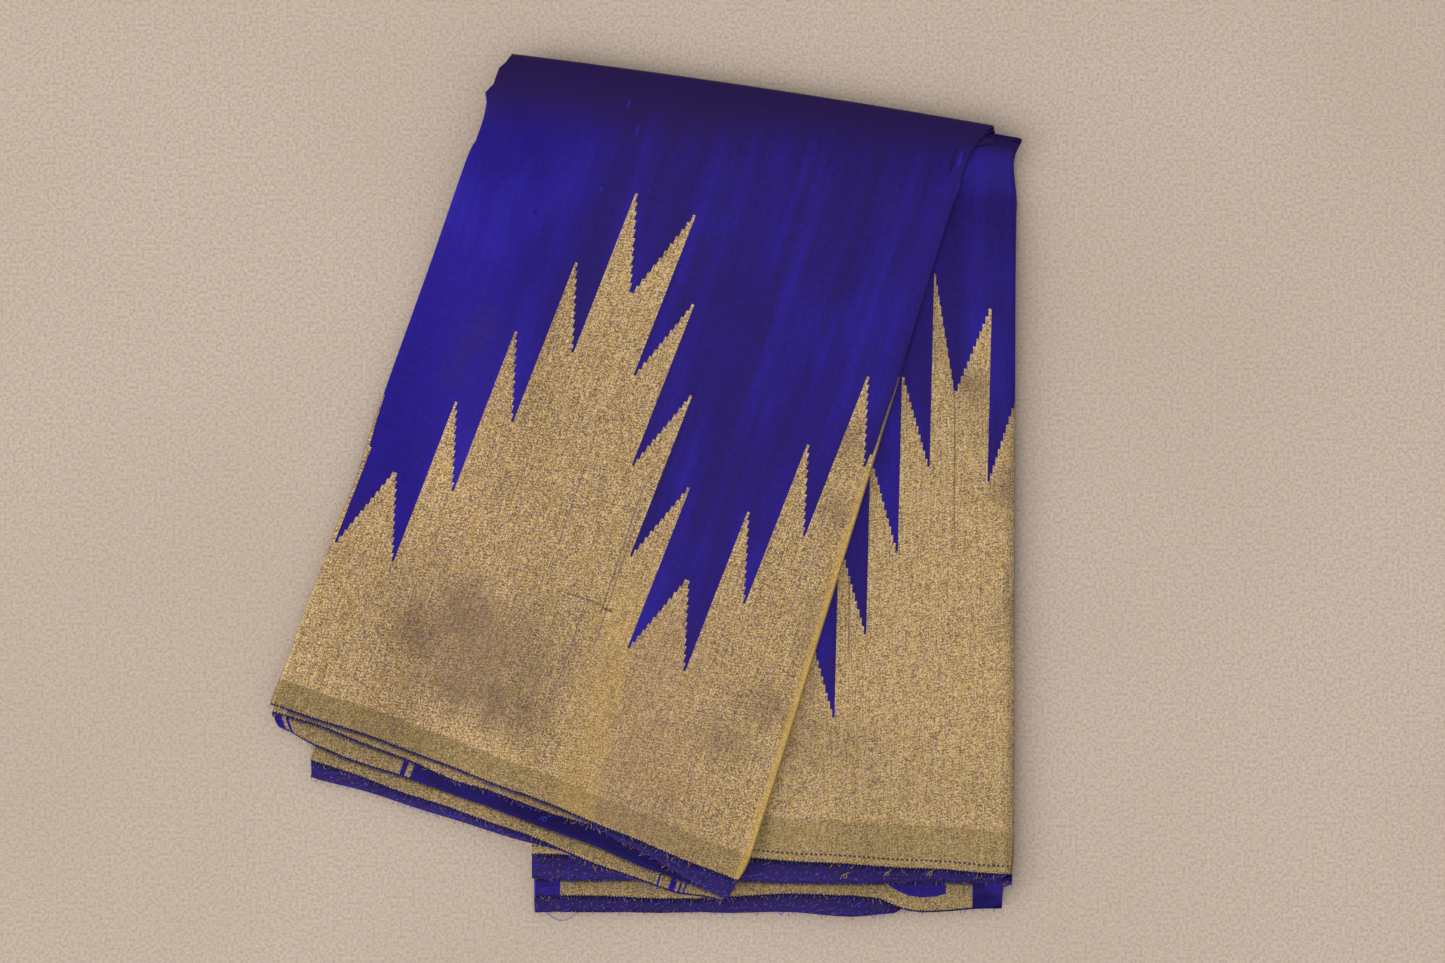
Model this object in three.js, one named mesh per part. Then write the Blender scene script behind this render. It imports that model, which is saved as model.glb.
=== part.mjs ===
// Folded silk sari: one woven cloth, doubled, pleated back and forth into a flat strip,
// then folded over once on a slanting line, so that the flap swings out across the lower half.
// Millimetres, +Z up, resting on z = 0. +Y runs from the lower hem to the roll of the big fold.
import * as THREE from "three";

// The cloth. Each pleat is the doubled silk, two plies pressed together.
const SHEET = 1.1;
const PITCH = 1.5;
const LAYERS = 8;

// The big fold. Its line slants, so the flap lies at twice this angle to the lower half.
// The roll reaches out a little further towards its right end.
const FOLD_SLANT = THREE.MathUtils.degToRad(9.3);
const ROLL_REACH = 62;
const ROLL_EYE = 1.6;
const ROLL_LEAN = 0.0125;
const ROLL_SHARE = 0.1;

// Each pleat fold or free edge, in order from the outside of the roll to its inside.
// lower, crest, neck and flap are how far out it runs at the lower hem, on the roll's crest,
// where the flap leaves the roll and at the flap's hem.
// lowerHem and flapHem are how far each selvedge lies from the line of the roll.
const PLEATS = [
  { side: -1, lower: 186, crest: 202, neck: 205, flap: 213, lowerHem: 633, flapHem: 574 },
  { side: +1, lower: 178, crest: 168, neck: 157, flap: 170, lowerHem: 632, flapHem: 594 },
  { side: -1, lower: 185, crest: 199, neck: 201, flap: 207, lowerHem: 630, flapHem: 590 },
  { side: +1, lower: 176, crest: 171, neck: 154, flap: 166, lowerHem: 628, flapHem: 600 },
  { side: -1, lower: 188, crest: 194, neck: 186, flap: 176, lowerHem: 623, flapHem: 602 },
  { side: +1, lower: 179, crest: 186, neck: 151, flap: 163, lowerHem: 618, flapHem: 602 },
  { side: -1, lower: 186, crest: 190, neck: 182, flap: 170, lowerHem: 609, flapHem: 611 },
  { side: +1, lower: 184, crest: 190, neck: 149, flap: 160, lowerHem: 601, flapHem: 604 },
  { side: -1, lower: 184, crest: 186, neck: 180, flap: 166, lowerHem: 586, flapHem: 612 },
];

// The sides of the lower half draw in a little just below the roll.
const WAIST = { depth: 5, at: -0.07, width: 0.06 };

// Where the upper layers stand open along a hem: across is measured from the strip's middle.
const LIFTS = [
  { half: "lower", across: 45, width: 70, inward: 110, rise: 3.5 },
  { half: "flap", across: -60, width: 120, inward: 90, rise: 3 },
  { half: "flap", across: 95, width: 60, inward: 70, rise: 1.6 },
];

// The flap hangs over the left side of the lower half and comes down to the table there.
const DROOP = { from: 192, width: 90, ramp: 120 };
const TABLE_GAP = 0.4;

// How the surface is divided. Every layer is cut at the same places, so that the layers stay parallel.
const CUTS = [-185, -150, -115, -80, -45, -10, 40, 105];
const CUT_MARGIN = 1;
const TURN_STEPS = 3;
const LOWER_LENGTH = 560;
const FLAP_LENGTH = 520;
const LOWER_STEPS = [0, 30, 65, 110];
const ROLL_STEPS = 9;
const FLAP_STEPS = [0, 45, 90, 140, 190, 240, 290, 340, 390, 440];
const FLAP_HEM_SHARES = [0.4, 0.75, 1];

// Heights worked out from those sizes.
const INNER_MIDDLE = SHEET / 2 + (LAYERS - 1) * PITCH;
const ROLL_HEIGHT = INNER_MIDDLE + ROLL_EYE;
const SETTLE = 2 * ROLL_EYE - PITCH;
const DROP = INNER_MIDDLE + PITCH - SHEET / 2 - TABLE_GAP;

const { lerp, smoothstep } = THREE.MathUtils;
const sinSlant = Math.sin(FOLD_SLANT);
const cosSlant = Math.cos(FOLD_SLANT);
const alongRoll = new THREE.Vector2(cosSlant, -sinSlant);
const acrossRoll = new THREE.Vector2(sinSlant, cosSlant);
const flapAcross = new THREE.Vector2(Math.cos(2 * FOLD_SLANT), -Math.sin(2 * FOLD_SLANT));
const flapDown = new THREE.Vector2(-Math.sin(2 * FOLD_SLANT), -Math.cos(2 * FOLD_SLANT));

// A soft bump, 1 at the middle and 0 one width away.
function bump(distance, width) {
  return 1 - smoothstep(Math.abs(distance), 0, width);
}

// Along the cloth's width: -1 at the lower hem, 0 on the roll's crest, +1 at the flap's hem.
function sideOf(pleat, along) {
  const drawnIn = WAIST.depth * bump(along - WAIST.at, WAIST.width);
  if (along <= 0) return pleat.side * (lerp(pleat.crest, pleat.lower, -along) - drawnIn);
  const leaving = along / ROLL_SHARE;
  if (leaving < 1) return pleat.side * lerp(pleat.crest, pleat.neck, smoothstep(leaving, 0, 1));
  return pleat.side * lerp(pleat.neck, pleat.flap, (along - ROLL_SHARE) / (1 - ROLL_SHARE));
}

// How far a selvedge lies from the roll, at a place counted in pleats from the first free edge.
function hemAt(name, place) {
  const before = PLEATS[Math.floor(place)];
  const after = PLEATS[Math.ceil(place)];
  return lerp(before[name], after[name], place - Math.floor(place));
}

// The cuts of one layer from side to side. A cut outside the layer moves in to just inside its edge.
function layerCuts(from, to) {
  const left = Math.min(from, to);
  const right = Math.max(from, to);
  const inside = CUTS.map((cut, i) => Math.max(cut, left + CUT_MARGIN * (i + 1)));
  const cuts = [left, ...inside, right];
  return from < to ? cuts : cuts.reverse();
}

// The pleated section as paired points on the sheet's two faces. Each has its place across and in
// depth, the pleats passed along the cloth, and the level of its layer in the stack.
function pleatSection(along) {
  const pairs = [];
  const addPair = (across, depth, normal, place, level) => {
    const face = (offset) => ({
      across: across + normal.x * offset,
      depth: depth + normal.y * offset,
      place,
      level,
    });
    pairs.push([face(SHEET / 2), face(-SHEET / 2)]);
  };
  for (let layer = 0; layer < LAYERS; layer++) {
    const from = sideOf(PLEATS[layer], along);
    const to = sideOf(PLEATS[layer + 1], along);
    const heading = PLEATS[layer + 1].side;
    const depth = SHEET / 2 + layer * PITCH;
    for (const across of layerCuts(from, to)) {
      const place = layer + (across - from) / (to - from);
      addPair(across, depth, new THREE.Vector2(0, heading), place, layer);
    }
    if (layer === LAYERS - 1) break;
    for (let step = 1; step < TURN_STEPS; step++) {
      const angle = (Math.PI * step) / TURN_STEPS - Math.PI / 2;
      const outward = new THREE.Vector2(heading * Math.cos(angle), Math.sin(angle));
      const across = to + (PITCH / 2) * outward.x;
      const middle = depth + PITCH / 2 + (PITCH / 2) * outward.y;
      addPair(across, middle, outward.multiplyScalar(-heading), layer + 1, layer + step / TURN_STEPS);
    }
  }
  return pairs;
}

// How much the open hems raise a point. Each layer above the lowest rises a little more.
function liftAt(half, across, fromHem, layersBelow) {
  return LIFTS.filter((lift) => lift.half === half).reduce((sum, lift) => {
    const open = bump(across - lift.across, lift.width) * bump(fromHem, lift.inward);
    return sum + (lift.rise * open * layersBelow) / (LAYERS - 1);
  }, 0);
}

function placeLower({ across, depth, place, level }, station) {
  const hem = -hemAt("lowerHem", place);
  const rollStart = -(ROLL_REACH + across * sinSlant) / cosSlant;
  const y = station.fromHem === undefined ? rollStart : hem + station.fromHem;
  return new THREE.Vector3(across, y, depth + liftAt("lower", across, y - hem, level));
}

// The roll is a flattened half turn whose layers nest inside one another.
function placeRoll({ across, depth }, { along }) {
  const share = (along + ROLL_SHARE) / (2 * ROLL_SHARE);
  const angle = Math.PI * share;
  const shift = ROLL_REACH * (sinSlant / cosSlant) * (1 - 2 * share);
  const reach = (ROLL_REACH - depth + ROLL_LEAN * across) * Math.sin(angle) - ROLL_REACH;
  const spot = alongRoll.clone().multiplyScalar(across / cosSlant + shift);
  spot.addScaledVector(acrossRoll, reach);
  return new THREE.Vector3(spot.x, spot.y, ROLL_HEIGHT - (ROLL_HEIGHT - depth) * Math.cos(angle));
}

function placeFlap({ across, depth, place, level }, station) {
  const hem = hemAt("flapHem", place);
  const rollEnd = (ROLL_REACH - across * sinSlant) / cosSlant;
  const down = lerp(rollEnd + station.fromRoll, hem, station.hemShare);
  const spot = flapAcross.clone().multiplyScalar(across).addScaledVector(flapDown, down);
  const overhang = smoothstep(-spot.x, DROOP.from, DROOP.from + DROOP.width);
  const settled = smoothstep(down - rollEnd, 0, DROOP.ramp);
  const lift = liftAt("flap", across, hem - down, LAYERS - 1 - level);
  const height = 2 * ROLL_HEIGHT - depth - settled * (SETTLE + DROP * overhang);
  return new THREE.Vector3(spot.x, spot.y, height + lift);
}

// The stations along the cloth's width, from the lower hem over the roll to the flap's hem.
function stations() {
  const lower = [...LOWER_STEPS, LOWER_LENGTH].map((fromHem) => ({
    place: placeLower,
    along: lerp(-1, -ROLL_SHARE, fromHem / LOWER_LENGTH),
    fromHem: fromHem < LOWER_LENGTH ? fromHem : undefined,
  }));
  const roll = Array.from({ length: ROLL_STEPS - 1 }, (_, i) => ({
    place: placeRoll,
    along: lerp(-ROLL_SHARE, ROLL_SHARE, (i + 1) / ROLL_STEPS),
  }));
  const flap = FLAP_STEPS.map((fromRoll) => ({
    place: placeFlap,
    along: lerp(ROLL_SHARE, 1, fromRoll / FLAP_LENGTH),
    fromRoll,
    hemShare: 0,
  }));
  const lastFlap = flap.at(-1);
  const flapHem = FLAP_HEM_SHARES.map((hemShare) => ({
    ...lastFlap,
    along: lerp(lastFlap.along, 1, hemShare),
    hemShare,
  }));
  return [...lower, ...roll, ...flap, ...flapHem];
}

// One closed sheet: its two faces, its hems and its two free edges.
function pleatedCloth() {
  const rings = stations().map((station) =>
    pleatSection(station.along).map((pair) => pair.map((point) => station.place(point, station))),
  );
  const pairCount = rings[0].length;
  const lastRing = rings.length - 1;
  const lastPair = pairCount - 1;
  const positions = rings.flat(2).flatMap((point) => point.toArray());
  const corner = (ring, pair, face) => (ring * pairCount + pair) * 2 + face;
  const indices = [];
  const addQuad = (a, b, c, d) => indices.push(a, b, c, a, c, d);
  // Layers that run back are split along the other diagonal, so that all the layers bend alike.
  const runsBack = pleatSection(0).map(([point]) => Math.floor(point.level) % 2 === 1);
  for (let r = 0; r < lastRing; r++) {
    for (let p = 0; p < lastPair; p++) {
      const front = [corner(r, p, 0), corner(r, p + 1, 0), corner(r + 1, p + 1, 0), corner(r + 1, p, 0)];
      const back = [corner(r, p, 1), corner(r + 1, p, 1), corner(r + 1, p + 1, 1), corner(r, p + 1, 1)];
      for (const [a, b, c, d] of [front, back]) {
        if (runsBack[p]) addQuad(b, c, d, a);
        else addQuad(a, b, c, d);
      }
    }
    addQuad(corner(r, 0, 0), corner(r + 1, 0, 0), corner(r + 1, 0, 1), corner(r, 0, 1));
    addQuad(
      corner(r, lastPair, 0),
      corner(r, lastPair, 1),
      corner(r + 1, lastPair, 1),
      corner(r + 1, lastPair, 0),
    );
  }
  for (let p = 0; p < lastPair; p++) {
    addQuad(corner(0, p, 0), corner(0, p, 1), corner(0, p + 1, 1), corner(0, p + 1, 0));
    addQuad(
      corner(lastRing, p, 0),
      corner(lastRing, p + 1, 0),
      corner(lastRing, p + 1, 1),
      corner(lastRing, p, 1),
    );
  }
  const geometry = new THREE.BufferGeometry();
  geometry.setAttribute("position", new THREE.Float32BufferAttribute(positions, 3));
  geometry.setIndex(indices);
  return geometry;
}

// The origin is the middle of the part's box, on the table.
function centreOnTable(geometry) {
  geometry.computeBoundingBox();
  const middle = geometry.boundingBox.getCenter(new THREE.Vector3());
  geometry.translate(-middle.x, -middle.y, 0);
  geometry.computeVertexNormals();
  return geometry;
}

const silk = new THREE.MeshStandardMaterial({ color: 0x2c1b91, roughness: 0.45, metalness: 0.1 });
const sari = new THREE.Mesh(centreOnTable(pleatedCloth()), silk);
sari.name = "sari";

const part = new THREE.Group();
part.add(sari);
export default part;
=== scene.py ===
# %% [markdown]
# # A folded silk sari
# A sari is one long strip of woven silk, about six metres by a little over one. This one has been
# doubled, pleated back and forth into a flat strip and folded over once on a slanting line.
# The imported model holds the folded solid. This lesson lays the thin silk on its folds, weaves the
# gold border with shader arithmetic and frays the hems with Geometry Nodes.

# %% Load the imported model
import math

import bpy
import numpy as np
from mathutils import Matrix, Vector


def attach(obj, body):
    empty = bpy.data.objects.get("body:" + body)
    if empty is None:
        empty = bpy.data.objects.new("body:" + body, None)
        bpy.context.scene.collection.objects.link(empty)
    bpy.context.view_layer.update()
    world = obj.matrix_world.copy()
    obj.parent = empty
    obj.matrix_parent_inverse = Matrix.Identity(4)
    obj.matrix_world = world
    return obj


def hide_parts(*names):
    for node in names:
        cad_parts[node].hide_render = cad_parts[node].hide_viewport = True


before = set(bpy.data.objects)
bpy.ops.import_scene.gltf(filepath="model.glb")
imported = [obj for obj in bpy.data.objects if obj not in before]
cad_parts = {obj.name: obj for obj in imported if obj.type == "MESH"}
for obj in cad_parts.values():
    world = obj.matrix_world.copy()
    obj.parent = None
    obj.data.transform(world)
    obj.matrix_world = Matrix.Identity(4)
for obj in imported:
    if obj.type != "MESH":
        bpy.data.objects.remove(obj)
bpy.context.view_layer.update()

# %% [markdown]
# ## The fold's sizes
# The solid was made from a short table: a row for each pleat fold or free edge, counted from the
# outside of the big roll to its inside. The same rows serve here, in millimetres, so that the thin
# cloth lies exactly in the solid's folds. A sculpted surface would also do, but a table can be
# checked against the solid number by number.

# %% Sizes of the stack, the roll and the pleats
MM = 0.001
LAYERS = 8
PITCH = 1.5
FIRST_MIDDLE = 0.55
FOLD_SLANT = math.radians(9.3)
ROLL_REACH = 62
ROLL_LEAN = 0.0125
ROLL_SHARE = 0.1
ROLL_HEIGHT = 12.65
SETTLE = 1.7
DROP = 11.6
DROOP_FROM = 192
DROOP_WIDTH = 90
DROOP_RAMP = 120
FLAP_LENGTH = 520
WAIST_DEPTH = 6.5
WAIST_AT = -0.05
WAIST_WIDTH = 0.045
SHOULDER = 3.2
SHOULDER_RAMP = (0.03, 0.1)
ROLL_BOW = 3.0
ROLL_BOW_REACH = 205
PLAN_SHIFT = (97.29, 301.55)

# side, then how far out the fold runs at the lower hem, on the crest, at the neck and at the flap's hem,
# and the share of the roll in which it swings from the crest to the neck
PLEATS = [
    (-1, 184, 199.5, 206.5, 218, 1.0),
    (+1, 178, 168, 157, 170, 0.9),
    (-1, 183, 199, 204, 214, 1.0),
    (+1, 176, 169, 154, 166, 0.85),
    (-1, 184, 194, 188, 179.5, 1.0),
    (+1, 179, 190.5, 151, 163, 0.6),
    (-1, 184, 190, 182, 170, 1.0),
    (+1, 184, 189, 149, 160, 0.5),
    (-1, 187, 188, 180, 166, 1.0),
]

# small scallops where the outer fold turns over the roll's left end: row, place along, width, out or in
SCALLOPS = [
    (0, 0.000, 0.020, 1.5),
    (0, 0.046, 0.012, 2.4),
    (0, 0.073, 0.012, 3.8),
    (0, 0.102, 0.036, -5.0),
    (0, 0.600, 0.080, -2.4),
    (1, 0.088, 0.012, 2.5),
    (2, 0.046, 0.014, 2.0),
    (2, 0.073, 0.014, 3.0),
    (2, 0.600, 0.080, -2.4),
]
print(len(PLEATS), "pleat rows and", len(SCALLOPS), "scallops")

# %% Soft steps and bumps, as the solid uses them
SIN_SLANT, COS_SLANT = math.sin(FOLD_SLANT), math.cos(FOLD_SLANT)
ALONG_ROLL = np.array([COS_SLANT, -SIN_SLANT])
ACROSS_ROLL = np.array([SIN_SLANT, COS_SLANT])
FLAP_ACROSS = np.array([math.cos(2 * FOLD_SLANT), -math.sin(2 * FOLD_SLANT)])
FLAP_DOWN = np.array([-math.sin(2 * FOLD_SLANT), -math.cos(2 * FOLD_SLANT)])


def lerp(a, b, share):
    return a + (b - a) * share


def smooth(x, low, high):
    share = np.clip((x - low) / (high - low), 0, 1)
    return share * share * (3 - 2 * share)


def bump(distance, width):
    return 1 - smooth(np.abs(distance), 0, width)


def side_of(pleat, along):
    """How far out a pleat fold runs: along is -1 at the lower hem, 0 on the crest, +1 at the flap's hem."""
    side, lower, crest, neck, flap, swing = PLEATS[pleat]
    scallop = sum(amount * bump(along - at, width) for row, at, width, amount in SCALLOPS if row == pleat)
    if along <= 0:
        drawn_in = WAIST_DEPTH * bump(along - WAIST_AT, WAIST_WIDTH)
        drawn_in += SHOULDER * smooth(-along, *SHOULDER_RAMP) * (1 + along)
        return side * (lerp(crest, lower, -along) - drawn_in + scallop)
    if along < ROLL_SHARE:
        return side * (lerp(crest, neck, smooth(along / (ROLL_SHARE * swing), 0, 1)) + scallop)
    return side * (lerp(neck, flap, (along - ROLL_SHARE) / (1 - ROLL_SHARE)) + scallop)


print("crest of the outermost layer:", side_of(0, 0), "to", side_of(1, 0))

# %% [markdown]
# ## Two plies in every layer
# Each layer of the solid stands for doubled silk, so the thin sheet passes through the stack twice:
# in on the B side, round the doubling fold at the left of layer 0, and out again on the A side.
# The outside of the doubled cloth is its face, and the inside is the reverse. That is why gold and
# blue strips take turns along the hems. Each ply gets its own hem, because a folded sari's edges
# never come out level.

# %% Plies and their hems
PLY_OFFSET = 0.33
PLY_HALF = 0.2
WIDTH = 1200.0
PANEL = 374.0

# how far out each hem lies, as pairs of a place across and a distance: hidden hems, then those that show
LOWER_UNDER = [(-185, 632), (-20, 632.5), (20, 631), (90, 627), (185, 624)]
FLAP_UNDER = [(-180, 598), (170, 596)]
LOWER_HEMS = {
    (7, "B"): [(-188, 588), (-60, 590), (40, 594), (80, 597), (160, 603), (185, 604)],
    (7, "A"): [(-186, 606), (40, 609), (135, 609), (183, 611)],
    (6, "A"): [
        (-184, 620), (-60, 622.5), (0, 619.5), (64, 620), (86, 623), (97, 630.5), (115, 632), (155, 630),
    ],
    (6, "B"): [(-184, 632), (20, 632), (48, 635), (64, 636.5), (94, 633.5), (104, 627), (185, 620)],
}
FLAP_HEMS = {
    (3, "A"): [(-173, 603), (-134, 602.5), (-101, 603.5), (0, 603.5), (60, 607), (128, 608), (155, 604)],
    (3, "B"): [(-170, 615), (-130, 612.5), (-66, 610), (18, 607), (160, 602)],
    (2, "B"): [(-208, 586), (-187, 591), (-150, 592), (-70, 591), (60, 593.5), (125, 598)],
    (2, "A"): [(-208, 580), (125, 594)],
    (1, "A"): [(-212, 576), (-175, 575), (-105, 579), (-66, 582), (-40, 580), (60, 580), (120, 576)],
    (1, "B"): [(-212, 566), (170, 570)],
    (0, "B"): [(-216, 571), (-110, 571), (-10, 573), (60, 578), (168, 584)],
    (0, "A"): [(-216, 558), (25, 570), (54, 580), (90, 585), (123, 593), (166, 600)],
}
PATH = [(layer, "B") for layer in reversed(range(LAYERS))] + [(layer, "A") for layer in range(LAYERS)]
TOP_OF_FLAP = (0, "B")
TOP_OF_LOWER = (7, "B")


def panel_middle(number):
    """Millimetres along the silk to the middle of a panel."""
    return number * PANEL + PANEL / 2


FLAP_PANEL = panel_middle(PATH.index(TOP_OF_FLAP))
LOWER_PANEL = panel_middle(PATH.index(TOP_OF_LOWER))
print(len(PATH), "panels of", PANEL, "mm make", round(len(PATH) * PANEL * MM, 2), "m of silk")

# %% Where each panel is cut
FINE_CUTS = np.arange(-214.0, 184.0, 6.0)
HEM_CUTS = np.arange(-204.0, 180.0, 11.0)
PLAIN_CUTS = np.arange(-196.0, 176.0, 18.0)
CUT_MARGIN = 0.3
# height, length and phase step of each wave
HEM_WAVES = [(0.5, 31, 2.1), (0.35, 12, 4.7)]


def cuts_of(ply):
    """Fine cuts where the panel lies on top, middling ones where its hem shows, and wide ones elsewhere."""
    if ply in (TOP_OF_FLAP, TOP_OF_LOWER):
        return FINE_CUTS
    return HEM_CUTS if ply in LOWER_HEMS or ply in FLAP_HEMS else PLAIN_CUTS


def panel_cuts(ply, left, right):
    cuts = cuts_of(ply)
    count = len(cuts)
    order = np.arange(count)
    inside = np.maximum(cuts, left + CUT_MARGIN * (order + 1))
    inside = np.minimum(inside, right - CUT_MARGIN * (count - order))
    return np.concatenate([[left], inside, [right]])


def hem_wave(number, across):
    """A hem is never straight: two waves, in another phase for each panel."""
    return sum(height * np.sin(across / length + phase * number) for height, length, phase in HEM_WAVES)


def hems_at(number, across):
    lower = LOWER_HEMS.get(PATH[number], LOWER_UNDER)
    flap = FLAP_HEMS.get(PATH[number], FLAP_UNDER)
    lower_hem = np.interp(across, *zip(*lower)) + hem_wave(number, across)
    flap_hem = np.interp(across, *zip(*flap)) + hem_wave(number + 0.5, across)
    return lower_hem, flap_hem


print(len(FINE_CUTS), "fine cuts on top,", len(HEM_CUTS), "at the hems and", len(PLAIN_CUTS), "elsewhere")

# %% Which hem lies over which ply
UNCOVERED = -1000.0


def faces_down(layer, ply):
    """+1 where the outside of the doubled cloth faces the inside of the roll, -1 where it faces out."""
    heading = PLEATS[layer + 1][0]
    return -heading if ply == "B" else heading


HEIGHTS = [layer * PITCH + faces_down(layer, ply) * PLY_OFFSET for layer, ply in PATH]


def covers_at(number, across, spans):
    """How far out the hems of the plies on top of this one reach, on the lower half and on the flap."""
    lower_cover = np.full(len(across), UNCOVERED)
    flap_cover = np.full(len(across), UNCOVERED)
    for other, (left, right) in enumerate(spans):
        lower, flap = hems_at(other, across)
        inside = (across > left) & (across < right)
        if HEIGHTS[other] > HEIGHTS[number]:
            lower_cover = np.where(inside, np.maximum(lower_cover, lower), lower_cover)
        if HEIGHTS[other] < HEIGHTS[number]:
            flap_cover = np.where(inside, np.maximum(flap_cover, flap), flap_cover)
    return lower_cover, flap_cover


print("plies from the table up:", [PATH[number] for number in np.argsort(HEIGHTS)][:4], "and so on")

# %% The pleated section at one place along the cloth
TURN_ANGLES = np.radians([-45, 0, 45])
ON_FLAP, ON_LOWER = 1.0, 2.0
KINDS = {TOP_OF_FLAP: ON_FLAP, TOP_OF_LOWER: ON_LOWER}
# columns of a section: place and depth, which way the face looks, hems, layer, length along the silk,
# kind of panel, distance from the nearest pleat fold and how far out the covering hems lie
ACROSS, DEPTH, OUT_ACROSS, OUT_DEPTH, LOWER_HEM, FLAP_HEM = range(6)
LAYER, LENGTH, KIND, FROM_FOLD, LOWER_COVER, FLAP_COVER = range(6, 12)


def section(along):
    """Points along the whole length of silk, from the free end on top of the lower half."""
    rows = []
    heads = []
    sides = [side_of(row, along) for row in range(LAYERS + 1)]
    spans = [sorted(sides[layer:layer + 2]) for layer, _ in PATH]
    for number, (layer, ply) in enumerate(PATH):
        left, right = spans[number]
        outward = faces_down(layer, ply)
        heading = 1 if number % 2 == 0 else -1
        across = panel_cuts((layer, ply), left, right)[::heading]
        lower, flap = hems_at(number, across)
        from_fold = np.minimum(across - left, right - across)
        depth = FIRST_MIDDLE + layer * PITCH
        length = panel_middle(number) + heading * across
        kind = KINDS.get((layer, ply), 0.0)
        blank = np.zeros(len(across))
        covers = covers_at(number, across, spans)
        panel = np.stack([across, blank + depth, blank, blank + outward, lower, flap,
                          blank + layer, length, blank + kind, from_fold, *covers], 1)
        if number:
            rows.append(turn(rows[-1][-1], panel[0], PATH[number - 1], PATH[number]))
            heads.append(np.full(len(rows[-1]), heading))
        rows.append(panel)
        heads.append(np.full(len(panel), heading))
    return np.concatenate(rows), np.concatenate(heads)


def turn(before, after, ply_before, ply_after):
    """Round a pleat fold, or round the doubling fold where the two plies meet."""
    shares = np.sin(TURN_ANGLES) / 2 + 0.5
    rows = lerp(before[None], after[None], shares[:, None])
    cos, sin = np.cos(TURN_ANGLES), np.sin(TURN_ANGLES)
    if ply_before[0] == ply_after[0]:
        rows[:, OUT_ACROSS], rows[:, OUT_DEPTH] = -cos, sin
        return rows
    side = 1 if before[ACROSS] > 0 else -1
    falls = 1 if after[DEPTH] > before[DEPTH] else -1
    rows[:, ACROSS] = before[ACROSS] + side * PITCH / 2 * cos
    rows[:, DEPTH] = (before[DEPTH] + after[DEPTH]) / 2 + falls * PITCH / 2 * sin
    faces_out = 1 if before[OUT_DEPTH] * falls < 0 else -1
    rows[:, OUT_ACROSS], rows[:, OUT_DEPTH] = faces_out * side * cos, faces_out * falls * sin
    return rows


points, _ = section(0.0)
print(len(points), "points across the folded stack")

# %% [markdown]
# ## Creases, one by one
# Silk that was stored in a stack keeps old fold lines. Each crease below is a soft trough or ridge
# with its own length, width and height, placed where this sari has one. Hems that stand open are
# lifted by soft bumps in the same way. Sculpting would do as well, but rows of numbers stay editable.

# %% Crease rows
# start across and down, end across and down, half width, height
FLAP_CREASES = [
    (45, 66, 47, 330, 9, -0.38),
    (6, 66, 4, 310, 11, 0.30),
    (4, 310, 45, 562, 10, 0.34),
    (-120, 70, -128, 250, 16, 0.25),
    (118, 70, 112, 220, 12, -0.30),
    (-196, 72, -150, 128, 9, 0.45),
    (-150, 450, -40, 505, 36, -0.40),
    (-175, 500, -60, 470, 22, 0.30),
    (70, 500, 150, 470, 20, -0.32),
    (146, -14, 150, 18, 5, -0.25),
    (158, -10, 158, 14, 5, 0.6),
    (150, 18, 138, 80, 7, -0.4),
]
LOWER_CREASES = [
    (166, -120, 176, -250, 9, 0.40),
    (140, -150, 150, -420, 14, -0.12),
    (120, -540, 180, -500, 22, 0.30),
    (60, -470, 150, -450, 26, 0.25),
    (168, -300, 184, -330, 10, -0.12),
]


def crease_height(across, along, creases):
    """The sum of soft troughs and ridges, each a capsule round its line."""
    total = np.zeros_like(across)
    for x0, y0, x1, y1, half_width, height in creases:
        run = np.array([x1 - x0, y1 - y0], float)
        share = ((across - x0) * run[0] + (along - y0) * run[1]) / (run @ run)
        share = np.clip(share, 0, 1)
        distance = np.hypot(across - x0 - share * run[0], along - y0 - share * run[1])
        total += height * bump(distance, 2 * half_width)
    return total


print(len(FLAP_CREASES), "creases on the flap,", len(LOWER_CREASES), "on the lower half")

# %% Open hems and drawn-in corners
# half, place across, half width, reach in from the hem, rise of the topmost layer
LIFTS = [
    ("lower", 45, 70, 110, 3.5),
    ("flap", -60, 120, 90, 3.0),
    ("flap", 95, 60, 70, 1.6),
]
# a mouth between two layers of the flap: place across, half width, reach in from the hem, rise,
# and how many layers it raises
MOUTH = (45, 118, 75, 3.0, 2)

# corners drawn in towards the hems: amount, then where it starts and ends across and along the cloth
LOWER_TUCK = (8.0, 120, 185, 590, 606)
FLAP_TUCK_LEFT = (9.0, 150, 210, 576, 590)
FLAP_TUCK_RIGHT = (6.0, 110, 170, 560, 602)
FLAP_TUCK_CORNER = (4.0, 140, 172, 600, 613)


def lift_at(half, across, from_hem, layers_below):
    total = np.zeros_like(across)
    for where, middle, width, inward, rise in LIFTS:
        if where == half:
            opened = bump(across - middle, width) * bump(from_hem, inward)
            total += rise * opened * layers_below / (LAYERS - 1)
    return total


def mouth_at(across, from_hem, layer):
    middle, width, inward, rise, raised = MOUTH
    open_here = rise * bump(across - middle, width) * bump(from_hem, inward)
    return np.where(layer < raised - 0.5, open_here, 0)


def tuck_at(tuck, across, along):
    amount, inner, outer, start, end = tuck
    return amount * smooth(across, inner, outer) * smooth(along, start, end)


print(len(LIFTS), "open places along the hems")

# %% [markdown]
# ## Laying the silk over the big fold
# The section is carried along the cloth's width in three stretches: flat on the table, round the
# slanting roll, and down the flap, which comes to rest on the lower half and droops to the table
# where it hangs over. These are the solid's own formulas, worked out on whole arrays at once. A cloth
# simulation could drop the flap too, but it would not come to rest in the solid's folds.

# %% Lower half and roll
NECK_DIP = 0.32
NECK_AT = -77
NECK_HALF = 30
NECK_ACROSS = (105, 150)


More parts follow.
